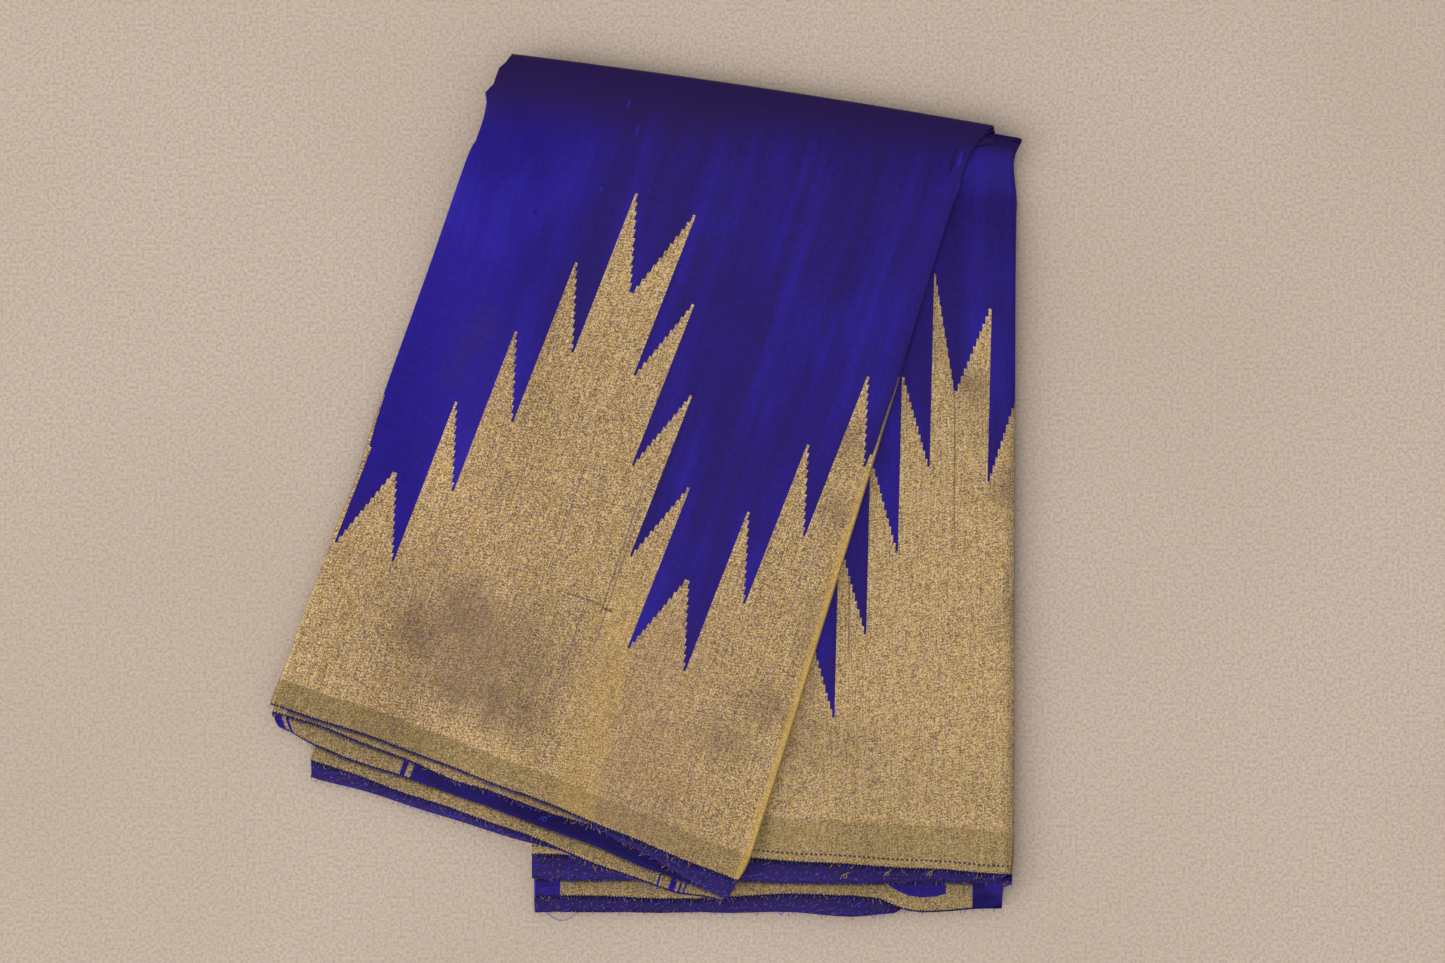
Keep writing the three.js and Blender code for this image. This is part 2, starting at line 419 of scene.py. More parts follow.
def neck_dip(x, y):
    """The stack is pressed down just below the inner end of the roll."""
    return 1 - NECK_DIP * bump(y - NECK_AT, NECK_HALF) * smooth(x, *NECK_ACROSS)


def surface_points(rows, offset):
    across = rows[:, ACROSS] + rows[:, OUT_ACROSS] * offset
    depth = rows[:, DEPTH] + rows[:, OUT_DEPTH] * offset
    return across, depth


def place_lower(rows, offset, share):
    across, depth = surface_points(rows, offset)
    hem = -rows[:, LOWER_HEM]
    roll_start = -(ROLL_REACH + across * SIN_SLANT) / COS_SLANT
    y = lerp(hem, roll_start, share)
    z = depth + lift_at("lower", across, y - hem, rows[:, LAYER])
    on_top = rows[:, KIND] == ON_LOWER
    z = z + np.where(on_top, crease_height(across, y, LOWER_CREASES), 0)
    below_top = smooth(LAYERS - 1 - rows[:, LAYER], 0.02, 0.12)
    x = across - tuck_at(LOWER_TUCK, across, -y) * below_top
    return np.stack([x, y, z * neck_dip(x, y)], 1), y - hem


def place_roll(rows, offset, share):
    across, depth = surface_points(rows, offset)
    angle = math.pi * share
    shift = ROLL_REACH * (SIN_SLANT / COS_SLANT) * (1 - 2 * share)
    bow = ROLL_BOW * np.clip(1 - (across / ROLL_BOW_REACH) ** 2, 0, 1)
    reach = (ROLL_REACH - depth + ROLL_LEAN * across + bow) * math.sin(angle) - ROLL_REACH
    plan = (across / COS_SLANT + shift)[:, None] * ALONG_ROLL + reach[:, None] * ACROSS_ROLL
    z = ROLL_HEIGHT - (ROLL_HEIGHT - depth) * math.cos(angle)
    if share < 0.5:
        z = z * neck_dip(plan[:, 0], plan[:, 1])
    if share > 0.5:
        on_top = rows[:, KIND] == ON_FLAP
        z = z + np.where(on_top, crease_height(plan @ FLAP_ACROSS, plan @ FLAP_DOWN, FLAP_CREASES), 0)
    roll_start = -(ROLL_REACH + across * SIN_SLANT) / COS_SLANT
    roll_end = (ROLL_REACH - across * SIN_SLANT) / COS_SLANT
    width = lerp(roll_start + rows[:, LOWER_HEM], WIDTH - rows[:, FLAP_HEM] + roll_end, share)
    return np.column_stack([plan, z]), width


print("roll:", 2 * ROLL_HEIGHT, "mm high")

# %% The flap
TOP_LOFT = 0.45


def place_flap(rows, offset, from_roll, hem_share):
    across, depth = surface_points(rows, offset)
    roll_end = (ROLL_REACH - across * SIN_SLANT) / COS_SLANT
    down = lerp(roll_end + from_roll, rows[:, FLAP_HEM], hem_share)
    drawn_in = tuck_at(FLAP_TUCK_LEFT, -across, down) - tuck_at(FLAP_TUCK_RIGHT, across, down)
    drawn_in = drawn_in + tuck_at(FLAP_TUCK_CORNER, -across, down)
    plan = (across + drawn_in)[:, None] * FLAP_ACROSS + down[:, None] * FLAP_DOWN
    overhang = smooth(-plan[:, 0], DROOP_FROM, DROOP_FROM + DROOP_WIDTH)
    settled = smooth(down - roll_end, 0, DROOP_RAMP)
    z = 2 * ROLL_HEIGHT - depth - settled * (SETTLE + DROP * overhang)
    z = z + lift_at("flap", across, rows[:, FLAP_HEM] - down, LAYERS - 1 - rows[:, LAYER])
    z = z + mouth_at(across, rows[:, FLAP_HEM] - down, rows[:, LAYER])
    on_top = rows[:, KIND] == ON_FLAP
    raised = settled * TOP_LOFT + crease_height(across, down, FLAP_CREASES)
    z = z + np.where(on_top, raised, 0)
    return np.column_stack([plan, z]), WIDTH - rows[:, FLAP_HEM] + down


print("the flap drops", DROP, "mm where it hangs over")

# %% Every station along the cloth's width
LOWER_SHARES = [0, 0.012, 0.03, 0.055, 0.085, 0.12, 0.17, 0.24] + [0.32 + 0.068 * i for i in range(11)]
ROLL_STEPS = 21
FLAP_STEPS = [0, 8, 16, 26, 38, 52, 66, 80, 95, 110, 125, 140] + list(range(160, 441, 20))
HEM_SHARES = [0.12, 0.25, 0.38, 0.5, 0.62, 0.73, 0.83, 0.91, 0.97, 1]


def stations():
    for share in LOWER_SHARES:
        yield lerp(-1, -ROLL_SHARE, share), place_lower, (share,)
    for step in range(1, ROLL_STEPS):
        share = step / ROLL_STEPS
        yield lerp(-ROLL_SHARE, ROLL_SHARE, share), place_roll, (share,)
    for from_roll in FLAP_STEPS:
        yield lerp(ROLL_SHARE, 1, from_roll / FLAP_LENGTH), place_flap, (from_roll, 0)
    last = lerp(ROLL_SHARE, 1, FLAP_STEPS[-1] / FLAP_LENGTH)
    for share in HEM_SHARES:
        yield lerp(last, 1, share), place_flap, (FLAP_STEPS[-1], share)


def to_frame(spots):
    """From the fold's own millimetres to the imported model's metres."""
    return (spots + np.array([*PLAN_SHIFT, 0])) * MM


face_rings, reverse_rings, width_rings, length_rings = [], [], [], []
fold_rings, crest_rings, past_rings = [], [], []
for along, place, where in stations():
    rows, headings = section(along)
    face, width = place(rows, PLY_OFFSET + PLY_HALF, *where)
    reverse, _ = place(rows, PLY_OFFSET - PLY_HALF, *where)
    face_rings.append(to_frame(face))
    reverse_rings.append(to_frame(reverse))
    width_rings.append(width * MM)
    length_rings.append(rows[:, LENGTH] * MM)
    fold_rings.append(rows[:, FROM_FOLD] * MM)
    crest = (rows[:, LOWER_HEM] + WIDTH - rows[:, FLAP_HEM]) / 2 - rows[:, ACROSS] * SIN_SLANT / COS_SLANT
    crest_rings.append((width - crest) * MM)
    past_lower = rows[:, LOWER_HEM] - width - rows[:, LOWER_COVER]
    past_flap = rows[:, FLAP_HEM] - WIDTH + width - rows[:, FLAP_COVER]
    past_rings.append(np.maximum(past_lower, past_flap) * MM)
face_rings, reverse_rings = np.array(face_rings), np.array(reverse_rings)
width_rings, length_rings = np.array(width_rings), np.array(length_rings)
print(face_rings.shape[0], "stations of", face_rings.shape[1], "points on each side of the silk")

# %% [markdown]
# ## One closed sheet
# The two sides are joined along both hems and both free ends, so the silk is a closed thin sheet.
# Quads always start at the same corner on the table, in panels that run either way. Their diagonals
# then match from ply to ply, and neighbouring plies bend alike instead of cutting through each other.
# A Solidify modifier could thicken one side instead, but it knows nothing of the plies next to it.

# %% Weave the quads
stations_count, across_count = face_rings.shape[:2]
FACE, REVERSE = 0, 1


def corner(ring, place, side):
    return side * stations_count * across_count + ring * across_count + place


ring_ids, place_ids = np.meshgrid(np.arange(stations_count - 1), np.arange(across_count - 1), indexing="ij")
ring_ids, place_ids = ring_ids.ravel(), place_ids.ravel()
runs_right = (headings[1:] > 0)[place_ids]


def side_quads(side):
    near = corner(ring_ids, place_ids, side)
    near_next = near + 1
    far, far_next = near + across_count, near + across_count + 1
    if side == FACE:
        right = np.stack([near, near_next, far_next, far], 1)
        left = np.stack([near_next, far_next, far, near], 1)
    else:
        right = np.stack([near, far, far_next, near_next], 1)
        left = np.stack([near_next, near, far, far_next], 1)
    return np.where(runs_right[:, None], right, left)


def rim_quads():
    along = np.arange(across_count - 1)
    up = np.arange(stations_count - 1)
    last_ring, last_place = stations_count - 1, across_count - 1
    quads = []
    for ring, flip in ((0, False), (last_ring, True)):
        quad = [corner(ring, along, FACE), corner(ring, along, REVERSE),
                corner(ring, along + 1, REVERSE), corner(ring, along + 1, FACE)]
        quads.append(np.stack(quad[::-1] if flip else quad, 1))
    for place, flip in ((0, True), (last_place, False)):
        quad = [corner(up, place, FACE), corner(up, place, REVERSE),
                corner(up + 1, place, REVERSE), corner(up + 1, place, FACE)]
        quads.append(np.stack(quad[::-1] if flip else quad, 1))
    return np.concatenate(quads)


print(len(ring_ids), "quads on each side of the silk")

# %% Make the sheet and keep its numbers


def placed(name, data):
    """A new object in the scene."""
    obj = bpy.data.objects.new(name, data)
    bpy.context.scene.collection.objects.link(obj)
    return obj


rims = rim_quads()
quads = np.concatenate([side_quads(FACE), side_quads(REVERSE), rims])
half_count = len(ring_ids)
vertices = np.concatenate([face_rings.reshape(-1, 3), reverse_rings.reshape(-1, 3)])
mesh = bpy.data.meshes.new("sari_cloth")
mesh.from_pydata(vertices.tolist(), [], quads.tolist())
sides = np.concatenate([np.zeros(half_count, np.int32), np.ones(half_count + len(rims), np.int32)])
mesh.polygons.foreach_set("material_index", sides)
mesh.polygons.foreach_set("use_smooth", np.ones(len(quads), bool))

cloth_map = np.stack([length_rings.ravel(), width_rings.ravel()], 1)
cloth_map = np.concatenate([cloth_map, cloth_map])
loops = np.zeros(len(mesh.loops), np.int32)
mesh.loops.foreach_get("vertex_index", loops)
mesh.uv_layers.new(name="silk_metres").data.foreach_set("uv", cloth_map[loops].astype(np.float32).ravel())
for name, rings in (("from_fold", fold_rings), ("from_crest", crest_rings), ("past_hem", past_rings)):
    values = np.tile(np.array(rings).ravel(), 2).astype(np.float32)
    mesh.attributes.new(name, "FLOAT", "POINT").data.foreach_set("value", values)
mesh.validate()
mesh.update()
sari = placed("sari_cloth", mesh)
print("silk sheet:", len(mesh.polygons), "quads")

# %% [markdown]
# ## Shader arithmetic
# The border follows a rule, so it is written as arithmetic and not painted. A small wrapper lets
# shader numbers be added, multiplied and compared like ordinary numbers: every operation adds one
# Math node. An image would be simpler to make, but it would blur close up.

# %% Numbers that become Math nodes


class Number:
    """One number of a shader. Arithmetic on it adds Math nodes."""

    def __init__(self, tree, socket):
        self.tree = tree
        self.socket = socket

    def math(self, operation, *others):
        node = self.tree.nodes.new("ShaderNodeMath")
        node.operation = operation
        feed(self.tree, node.inputs[0], self)
        for socket, other in zip(list(node.inputs)[1:], others):
            feed(self.tree, socket, other)
        return Number(self.tree, node.outputs[0])

    def __add__(self, other):
        return self.math("ADD", other)

    def __sub__(self, other):
        return self.math("SUBTRACT", other)

    def __mul__(self, other):
        return self.math("MULTIPLY", other)

    def __truediv__(self, other):
        return self.math("DIVIDE", other)

    def __lt__(self, other):
        return self.math("LESS_THAN", other)

    def __gt__(self, other):
        return self.math("GREATER_THAN", other)

    def __abs__(self):
        return self.math("ABSOLUTE")

    def floor(self):
        return self.math("FLOOR")

    def least(self, other):
        return self.math("MINIMUM", other)

    def most(self, other):
        return self.math("MAXIMUM", other)

    def flip(self):
        """One less the number, so that 0 and 1 change places."""
        return (self * -1.0) + 1.0

    def sine(self):
        """A wave from 0 to 1, once for every whole number."""
        return (self * (2 * math.pi)).math("SINE") * 0.5 + 0.5

    def ramp(self, low, high):
        """0 below low, 1 above high, and soft between."""
        node = self.tree.nodes.new("ShaderNodeMapRange")
        node.interpolation_type = "SMOOTHSTEP"
        feed(self.tree, node.inputs["Value"], self)
        node.inputs["From Min"].default_value = low
        node.inputs["From Max"].default_value = high
        return Number(self.tree, node.outputs["Result"])


def feed(tree, socket, value):
    if isinstance(value, Number):
        tree.links.new(value.socket, socket)
    else:
        socket.default_value = value


print("shader numbers can be added, subtracted, multiplied, divided, compared and ramped")

# %% Colours, noise and new materials


def mixed(tree, share, first, second, blend="MIX"):
    """A colour between two colours. Each is a plain colour or another mix."""
    node = tree.nodes.new("ShaderNodeMix")
    node.data_type = "RGBA"
    node.blend_type = blend
    feed(tree, node.inputs["Factor"], share)
    for name, colour in (("A", first), ("B", second)):
        socket = next(s for s in node.inputs if s.name == name and s.type == "RGBA")
        if isinstance(colour, bpy.types.NodeSocket):
            tree.links.new(colour, socket)
        else:
            socket.default_value = (*colour, 1)
    return next(s for s in node.outputs if s.type == "RGBA")


def spot(tree, x, y, z=0.0):
    node = tree.nodes.new("ShaderNodeCombineXYZ")
    for socket, value in zip(node.inputs, (x, y, z)):
        feed(tree, socket, value)
    return node.outputs[0]


def noise(tree, where, scale, detail=2.0, roughness=0.5):
    node = tree.nodes.new("ShaderNodeTexNoise")
    tree.links.new(where, node.inputs["Vector"])
    node.inputs["Scale"].default_value = scale
    node.inputs["Detail"].default_value = detail
    node.inputs["Roughness"].default_value = roughness
    return Number(tree, node.outputs["Fac"])


def new_finish(name):
    finish = bpy.data.materials.new(name)
    finish.use_nodes = True
    tree = finish.node_tree
    return finish, tree, tree.nodes["Principled BSDF"]


def silk_place(tree):
    """Where on the flat silk a point lies: metres along its length and across its width."""
    node = tree.nodes.new("ShaderNodeUVMap")
    node.uv_map = "silk_metres"
    parts = tree.nodes.new("ShaderNodeSeparateXYZ")
    tree.links.new(node.outputs["UV"], parts.inputs[0])
    return Number(tree, parts.outputs[0]), Number(tree, parts.outputs[1])


def kept_number(tree, name):
    """A number kept at each point of the mesh: metres from a pleat fold, from the crest or past a hem."""
    node = tree.nodes.new("ShaderNodeAttribute")
    node.attribute_name = name
    return Number(tree, node.outputs["Fac"])


def roughen(tree, shader, height, strength, distance):
    node = tree.nodes.new("ShaderNodeBump")
    node.inputs["Strength"].default_value = strength
    node.inputs["Distance"].default_value = distance
    feed(tree, node.inputs["Height"], height)
    tree.links.new(node.outputs["Normal"], shader.inputs["Normal"])


print("shader helpers ready")

# %% [markdown]
# ## The silk's own coordinates
# Every pattern of the cloth is laid out on the flat silk, as it was on the loom: metres along its
# length and across its width. A painted texture would need an unwrapped map, but here the mesh
# already keeps these numbers, so one small class hands them to every finish by name.

# %% What the mesh keeps about the silk
SILK_WIDTH = WIDTH * MM


class Silk:
    """Where a point lies on the flat silk, as shader numbers in metres."""

    def __init__(self, tree):
        self.tree = tree
        self.along, self.across = silk_place(tree)
        self.from_edge = self.across.least(self.across.flip() + (SILK_WIDTH - 1))
        self.flap_side = self.across > SILK_WIDTH / 2
        self.lower_side = self.across < SILK_WIDTH / 2
        self.from_fold = kept_number(tree, "from_fold")
        self.from_crest = kept_number(tree, "from_crest")
        self.past_hem = abs(kept_number(tree, "past_hem"))

    def noise(self, scale, detail, roughness=0.5, along=1.0, across=1.0):
        """Noise on the flat silk. A share below 1 draws it out along the length or across the width."""
        where = spot(self.tree, self.along * along, self.across * across)
        return noise(self.tree, where, scale, detail, roughness)

    def either(self, on_flap, on_lower):
        """One number on the flap's half of the silk and another on the lower half."""
        return self.flap_side * (on_flap - on_lower) + on_lower

    def band(self, centre, half_width):
        """1 in a band across the silk, given in millimetres along it."""
        return self.along.math("COMPARE", centre * MM, half_width * MM)

    def thread(self, place, half_width):
        """1 in a line along the silk, given in millimetres across it."""
        return self.across.math("COMPARE", place * MM, half_width * MM)

    def offset(self, x, y, reach_x, reach_y):
        """How far a point lies from a spot along and across, as shares of the spot's reach."""
        return (self.along - x * MM) / (reach_x * MM), (self.across - y * MM) / (reach_y * MM)

    def mix(self, share, first, second, blend="MIX"):
        return mixed(self.tree, share, first, second, blend)

    def wash(self, colour, washes):
        """Lays washes on a colour: a pattern, where it starts and is full, its strength, its colour."""
        for pattern, none, full, strength, tone in washes:
            colour = self.mix(pattern.ramp(none, full) * strength, colour, tone)
        return colour


print("silk:", SILK_WIDTH, "m wide, with three numbers kept at each point")

# %% [markdown]
# ## The temple border
# Weavers of southern India call rows of spires along a border a temple border. Each spire has one
# clean upright edge, where two weft yarns interlock, and one stepped slope, where the gold weft
# moves over a few warp yarns at a time. Here the height of the gold is a function of the length
# along the cloth: four spires up to a twin crown and four down again. A drawn outline would need a
# point for every step.

# %% Height of the gold along the border
FLAP_PITCH, LOWER_PITCH = 0.0239, 0.0229
FLAP_LEAN, LOWER_LEAN = 0.047, 0.024
FLAP_PEAK, LOWER_PEAK = 0.4705, 0.4430
SPIRE_RISE = 0.0660
SPIRES = 5
LAST_SPIRE = SPIRES - 0.001
STEPS_A_SPIRE = 12.0
FLAP_CROWN_REACH, LOWER_CROWN_REACH = 0.0246, 0.0268
CROWN_NARROWING = 0.0088
CROWN_LIFT = 0.0240
# how much higher each spire ends and how much lower it starts: flap, lower left, lower right, crowns
FLAP_NOTCH = 0.0060
LEFT_TIP = 0.0090
RIGHT_TIP, RIGHT_NOTCH = 0.0030, 0.0076
FLAP_CROWN_NOTCH, LOWER_CROWN_NOTCH = 0.0135, 0.0060
PERIOD = 2 * (FLAP_CROWN_REACH + (SPIRES - 1) * FLAP_PITCH)
FLAP_CENTRE = (FLAP_PANEL + 51.0) * MM - FLAP_LEAN * (SILK_WIDTH - FLAP_PEAK)
LOWER_CENTRE = (LOWER_PANEL + 139.8) * MM - LOWER_LEAN * (LOWER_PEAK - SPIRE_RISE)


def gold_height(silk):
    """How far the gold reaches in from the selvedge."""
    upright = silk.along - silk.across * silk.either(FLAP_LEAN, LOWER_LEAN)
    away = upright - silk.either(FLAP_CENTRE, LOWER_CENTRE)
    away = away.math("WRAP", PERIOD / 2, -PERIOD / 2)
    distance = abs(away)
    lower_left = (away < 0) * silk.flap_side.flip()
    lower_right = (away > 0) * silk.flap_side.flip()
    crown = lower_left * -CROWN_NARROWING + silk.either(FLAP_CROWN_REACH, LOWER_CROWN_REACH)
    spires = (distance / crown).least(1.0)
    spires = spires + (distance - crown).most(0.0) / silk.either(FLAP_PITCH, LOWER_PITCH)
    spires = spires.least(LAST_SPIRE)
    stepped = (spires * STEPS_A_SPIRE).floor() / STEPS_A_SPIRE
    up = stepped - spires.floor()
    in_crown = spires < 1.0
    height = silk.either(FLAP_PEAK, LOWER_PEAK) - (spires.floor() * 2.0 + 1.0 - stepped) * SPIRE_RISE
    tip = lower_left * LEFT_TIP + lower_right * RIGHT_TIP
    notch = silk.flap_side * FLAP_NOTCH + lower_right * RIGHT_NOTCH
    height = height + in_crown.flip() * (up * tip - up.flip() * notch)
    crown_notch = silk.either(FLAP_CROWN_NOTCH, LOWER_CROWN_NOTCH)
    return height + in_crown * (lower_left * spires * CROWN_LIFT - up.flip() * crown_notch)


print("border repeat:", round(PERIOD * 1000), "mm, gold up to", FLAP_PEAK * 1000, "mm")

# %% Plain blue places in the border
# the next mountains of the border hardly show at the flap's folds: centre and half width along the silk,
# the height in metres above which they are left out, and how wide they taper off right at the fold
SLIVERS = [
    (FLAP_PANEL + 200, 14.5, 0.213, 0.0024),
    (FLAP_PANEL - 166, 9.0, 0.343, 0.0013),
]
RIM_RISE = 0.062
# bands woven plain blue: the panel, then start and end from its middle
PLAIN_BANDS = [
    (5, -190, 98),
    (5, 102.6, 106.6),
    (5, 201.3, 204),
    (5, 207, 216),
    (11, -110, -108.5),
    (11, -124, -118.5),
    (11, -128.5, -126.7),
    (11, -133, -131.4),
    (14, -200, -165),
    (14, 158.5, 200),
]
# a blue lens: the panel, its centre from the panel's middle and across, both reaches, where it is cut
PLAIN_LENSES = [(14, 113, 20.5, 42, 9.0, 134)]


def border(silk):
    """1 where the weft is gold and 0 where it is blue."""
    gold = silk.from_edge < gold_height(silk)
    for centre, half_width, above, rim_width in SLIVERS:
        at_rim = (silk.from_fold / rim_width).flip().most(0.0)
        too_high = silk.from_edge - at_rim * RIM_RISE > above
        gold = gold * (silk.flap_side * silk.band(centre, half_width) * too_high).flip()
    for panel, start, end in PLAIN_BANDS:
        centre = panel_middle(panel) + (start + end) / 2
        gold = gold * silk.band(centre, (end - start) / 2).flip()
    for panel, x, y, reach_x, reach_y, cut in PLAIN_LENSES:
        dx, dy = silk.offset(panel_middle(panel) + x, y, reach_x, reach_y)
        past_cut = silk.along > (panel_middle(panel) + cut) * MM
        gold = gold * (dx * dx + abs(dy) > 1.0).most(past_cut)
    return gold


print(len(PLAIN_BANDS), "plain bands and", len(PLAIN_LENSES), "lens")

# %% [markdown]
# ## Gold weft
# The gold is a twill: the metal-wrapped weft floats over a few warp yarns, and each float starts one yarn
# further on, which draws fine slanting lines. Every float gets its own shade and tint, and the gaps between
# floats are brown. Stains, pulled yarns and rubbed places are soft spots set one by one, because they
# follow no rule.

# %% Colours of the gold
GAP_BROWN = (0.150, 0.100, 0.078)
GOLD_MID = (0.462, 0.298, 0.134)
GOLD_LIGHT = (0.785, 0.588, 0.300)
GOLD_RIM_HIGHLIGHT = (0.640, 0.410, 0.090)
GOLD_YELLOW = (0.560, 0.350, 0.085)
GOLD_PINK = (0.330, 0.200, 0.135)
GOLD_MAUVE = (0.360, 0.240, 0.190)
TINT_YELLOW = (0.97, 1.02, 0.58)
TINT_MAUVE = (1.03, 0.98, 1.46)
YARN_VIOLET = (0.110, 0.080, 0.110)
STAIN = (0.120, 0.076, 0.058)
SNAG_BROWN = (0.070, 0.035, 0.020)
OLIVE = (0.140, 0.112, 0.036)
BLUE_EDGE = (0.011, 0.008, 0.069)
print("gold from", GAP_BROWN, "to", GOLD_LIGHT)

# %% Stains
# centre along the silk's length and width, reach along and across, strength
STAINS = [
    (FLAP_PANEL + 82, 1106, 108, 70, 0.28),
    (FLAP_PANEL + 98, 1080, 40, 30, 0.17),
    (FLAP_PANEL + 72, 1112, 60, 40, 0.20),
    (FLAP_PANEL + 52, 1146, 52, 23, 0.26),
    (FLAP_PANEL + 132, 1113, 30, 20, 0.12),
    (FLAP_PANEL - 147, 1066, 26, 20, 0.30),
    (FLAP_PANEL - 122, 1104, 30, 20, 0.28),
    (FLAP_PANEL - 160, 1000, 14, 40, 0.20),
    (FLAP_PANEL - 140, 855, 15, 22, 0.32),
    (FLAP_PANEL - 148, 908, 18, 18, 0.26),
    (LOWER_PANEL + 152, 378, 20, 18, 0.40),
    (LOWER_PANEL + 126, 408, 14, 24, 0.26),
    (LOWER_PANEL + 176, 300, 13, 18, 0.36),
    (LOWER_PANEL + 43, 97, 50, 22, 0.16),
    (LOWER_PANEL + 90, 66, 120, 36, 0.11),
    (LOWER_PANEL + 160, 350, 20, 30, 0.18),
    (LOWER_PANEL + 182, 205, 14, 24, 0.20),
]
STAIN_STRENGTH = 1.15


def stains(silk):
    """The sum of soft spots with ragged edges."""
    ragged = silk.noise(62, 4.0, 0.65, across=0.4) * 1.1 - 0.55
    total = None
    for x, y, reach_x, reach_y, strength in STAINS:
        dx, dy = silk.offset(x, y, reach_x, reach_y)
        distance = (dx * dx + dy * dy).math("SQRT") + ragged
        patch = distance.ramp(0.15, 1.3).flip() * strength
        total = patch if total is None else total + patch
    return total * STAIN_STRENGTH


print(len(STAINS), "stains")

# %% Pulled yarns and snags
# a yarn pulled tight, as its place along the silk and where it starts and ends across
PULLED_YARNS = [
    (LOWER_PANEL + 139.5, 240, 372),
    (LOWER_PANEL + 58.0, 150, 232),
    (FLAP_PANEL - 1.5, 925, 1050),
    (FLAP_PANEL - 5.0, 950, 1072),
    (FLAP_PANEL + 12.0, 1035, 1100),
    (FLAP_PANEL + 46.0, 930, 1010),
]
PULLED_HALF = 0.6
PULLED_FADE = 30

# a weft snagged across the warp: middle and half length along the silk, place across, strength
SNAGS = [
    (FLAP_PANEL + 14, 16, 1042.5, 0.65),
    (FLAP_PANEL - 5, 4.5, 1044.5, 1.0),
    (LOWER_PANEL + 30, 9, 262, 0.6),
]
SNAG_HALF = 0.8
SNAG_DASHES_A_METRE = 260.0


def handled(silk, colour):
    """Pulled yarns and snags on the gold."""
    for x, low, high in PULLED_YARNS:
        pulled = silk.band(x, PULLED_HALF) * silk.across.ramp(low * MM, (low + PULLED_FADE) * MM)
        colour = silk.mix(pulled * (silk.across < high * MM) * 0.6, colour, YARN_VIOLET)
    dashes = (silk.along * SNAG_DASHES_A_METRE).sine() * 0.5 + 0.5
    for x, half_length, y, strength in SNAGS:
        snag = silk.band(x, half_length) * silk.thread(y, SNAG_HALF)
        colour = silk.mix(snag * dashes * strength, colour, SNAG_BROWN)
    return colour


print(len(PULLED_YARNS), "pulled yarns and", len(SNAGS), "snags")

# %% Slanting floats of a twill
FLOAT_PITCH = 0.00064
FLOAT_LENGTH = 0.00088
FLOAT_SHIFT = 0.38
FLOAT_WANDER = 0.0012
TINT_SEED = 71.0
TWILL_ANGLE = math.radians(14)
TWILL_PITCH = 0.0024
TWILL_WANDER = 0.0008


def slanted(silk, angle):
    """Distance over the twill lines, and along them."""
    over = silk.across * math.cos(angle) - silk.along * math.sin(angle)
    beside = silk.along * math.cos(angle) + silk.across * math.sin(angle)
    return over, beside


def chance(tree, x, y):
    """A number from 0 to 1, another one for each pair of whole numbers."""
    node = tree.nodes.new("ShaderNodeTexWhiteNoise")
    node.noise_dimensions = "2D"
    tree.links.new(spot(tree, x, y), node.inputs["Vector"])
    return Number(tree, node.outputs["Value"])


def float_cells(silk):
    """Each gold float's rounded height, its own random shade and its own random tint."""
    over, beside = slanted(silk, TWILL_ANGLE)
    over = over + silk.noise(120, 2.0) * FLOAT_WANDER
    row = (over / FLOAT_PITCH).floor()
    cell = beside / FLOAT_LENGTH + row * FLOAT_SHIFT
    hump = (over / FLOAT_PITCH - 0.25).sine() * (cell - 0.25).sine().ramp(0.0, 0.55)
    shade = chance(silk.tree, cell.floor(), row)
    tint = chance(silk.tree, cell.floor() + TINT_SEED, row)
    return hump, shade, tint


print("floats of", FLOAT_LENGTH * 1000, "mm,", FLOAT_PITCH * 1000, "mm apart")

# %% Shade and tint of the weave
FLAP_BAND, LOWER_BAND = 0.0208, 0.0332
OLIVE_MIDDLE = (FLAP_PANEL + 140) * MM
OLIVE_REACH = 0.17
# how much each pattern adds to what shows of a float
SHADE_SHARE, HUMP_SHARE, TWILL_SHARE, WARP_SHARE, WORN_SHARE = 1.30, 0.30, 0.16, 1.10, 0.25
SHOWN_SHIFT = 0.95
FLAP_DARKER, OLIVE_DARKER = 0.13, 0.12


def shown_gold(silk, shade, hump, grain, worn, olive):
    """How much of a float shows: below 0 in the gaps, about 1 on the brightest floats."""
    over, _ = slanted(silk, TWILL_ANGLE)
    twill = ((over + grain * TWILL_WANDER) / TWILL_PITCH).sine()
    warp = silk.noise(820, 2.0, 0.7, across=0.03)
    shown = shade * SHADE_SHARE + hump * HUMP_SHARE + twill * TWILL_SHARE
    shown = shown + warp * WARP_SHARE + worn * WORN_SHARE - SHOWN_SHIFT
    from_middle = silk.along - FLAP_PANEL * MM
    dull_strip = from_middle.ramp(0.070, 0.105) * from_middle.ramp(0.165, 0.130)
    brighter = silk.from_edge.ramp(0.27, 0.42) * 0.10 - dull_strip * 0.14
    return shown - silk.flap_side * (brighter * -1.0 + FLAP_DARKER) - olive * OLIVE_DARKER


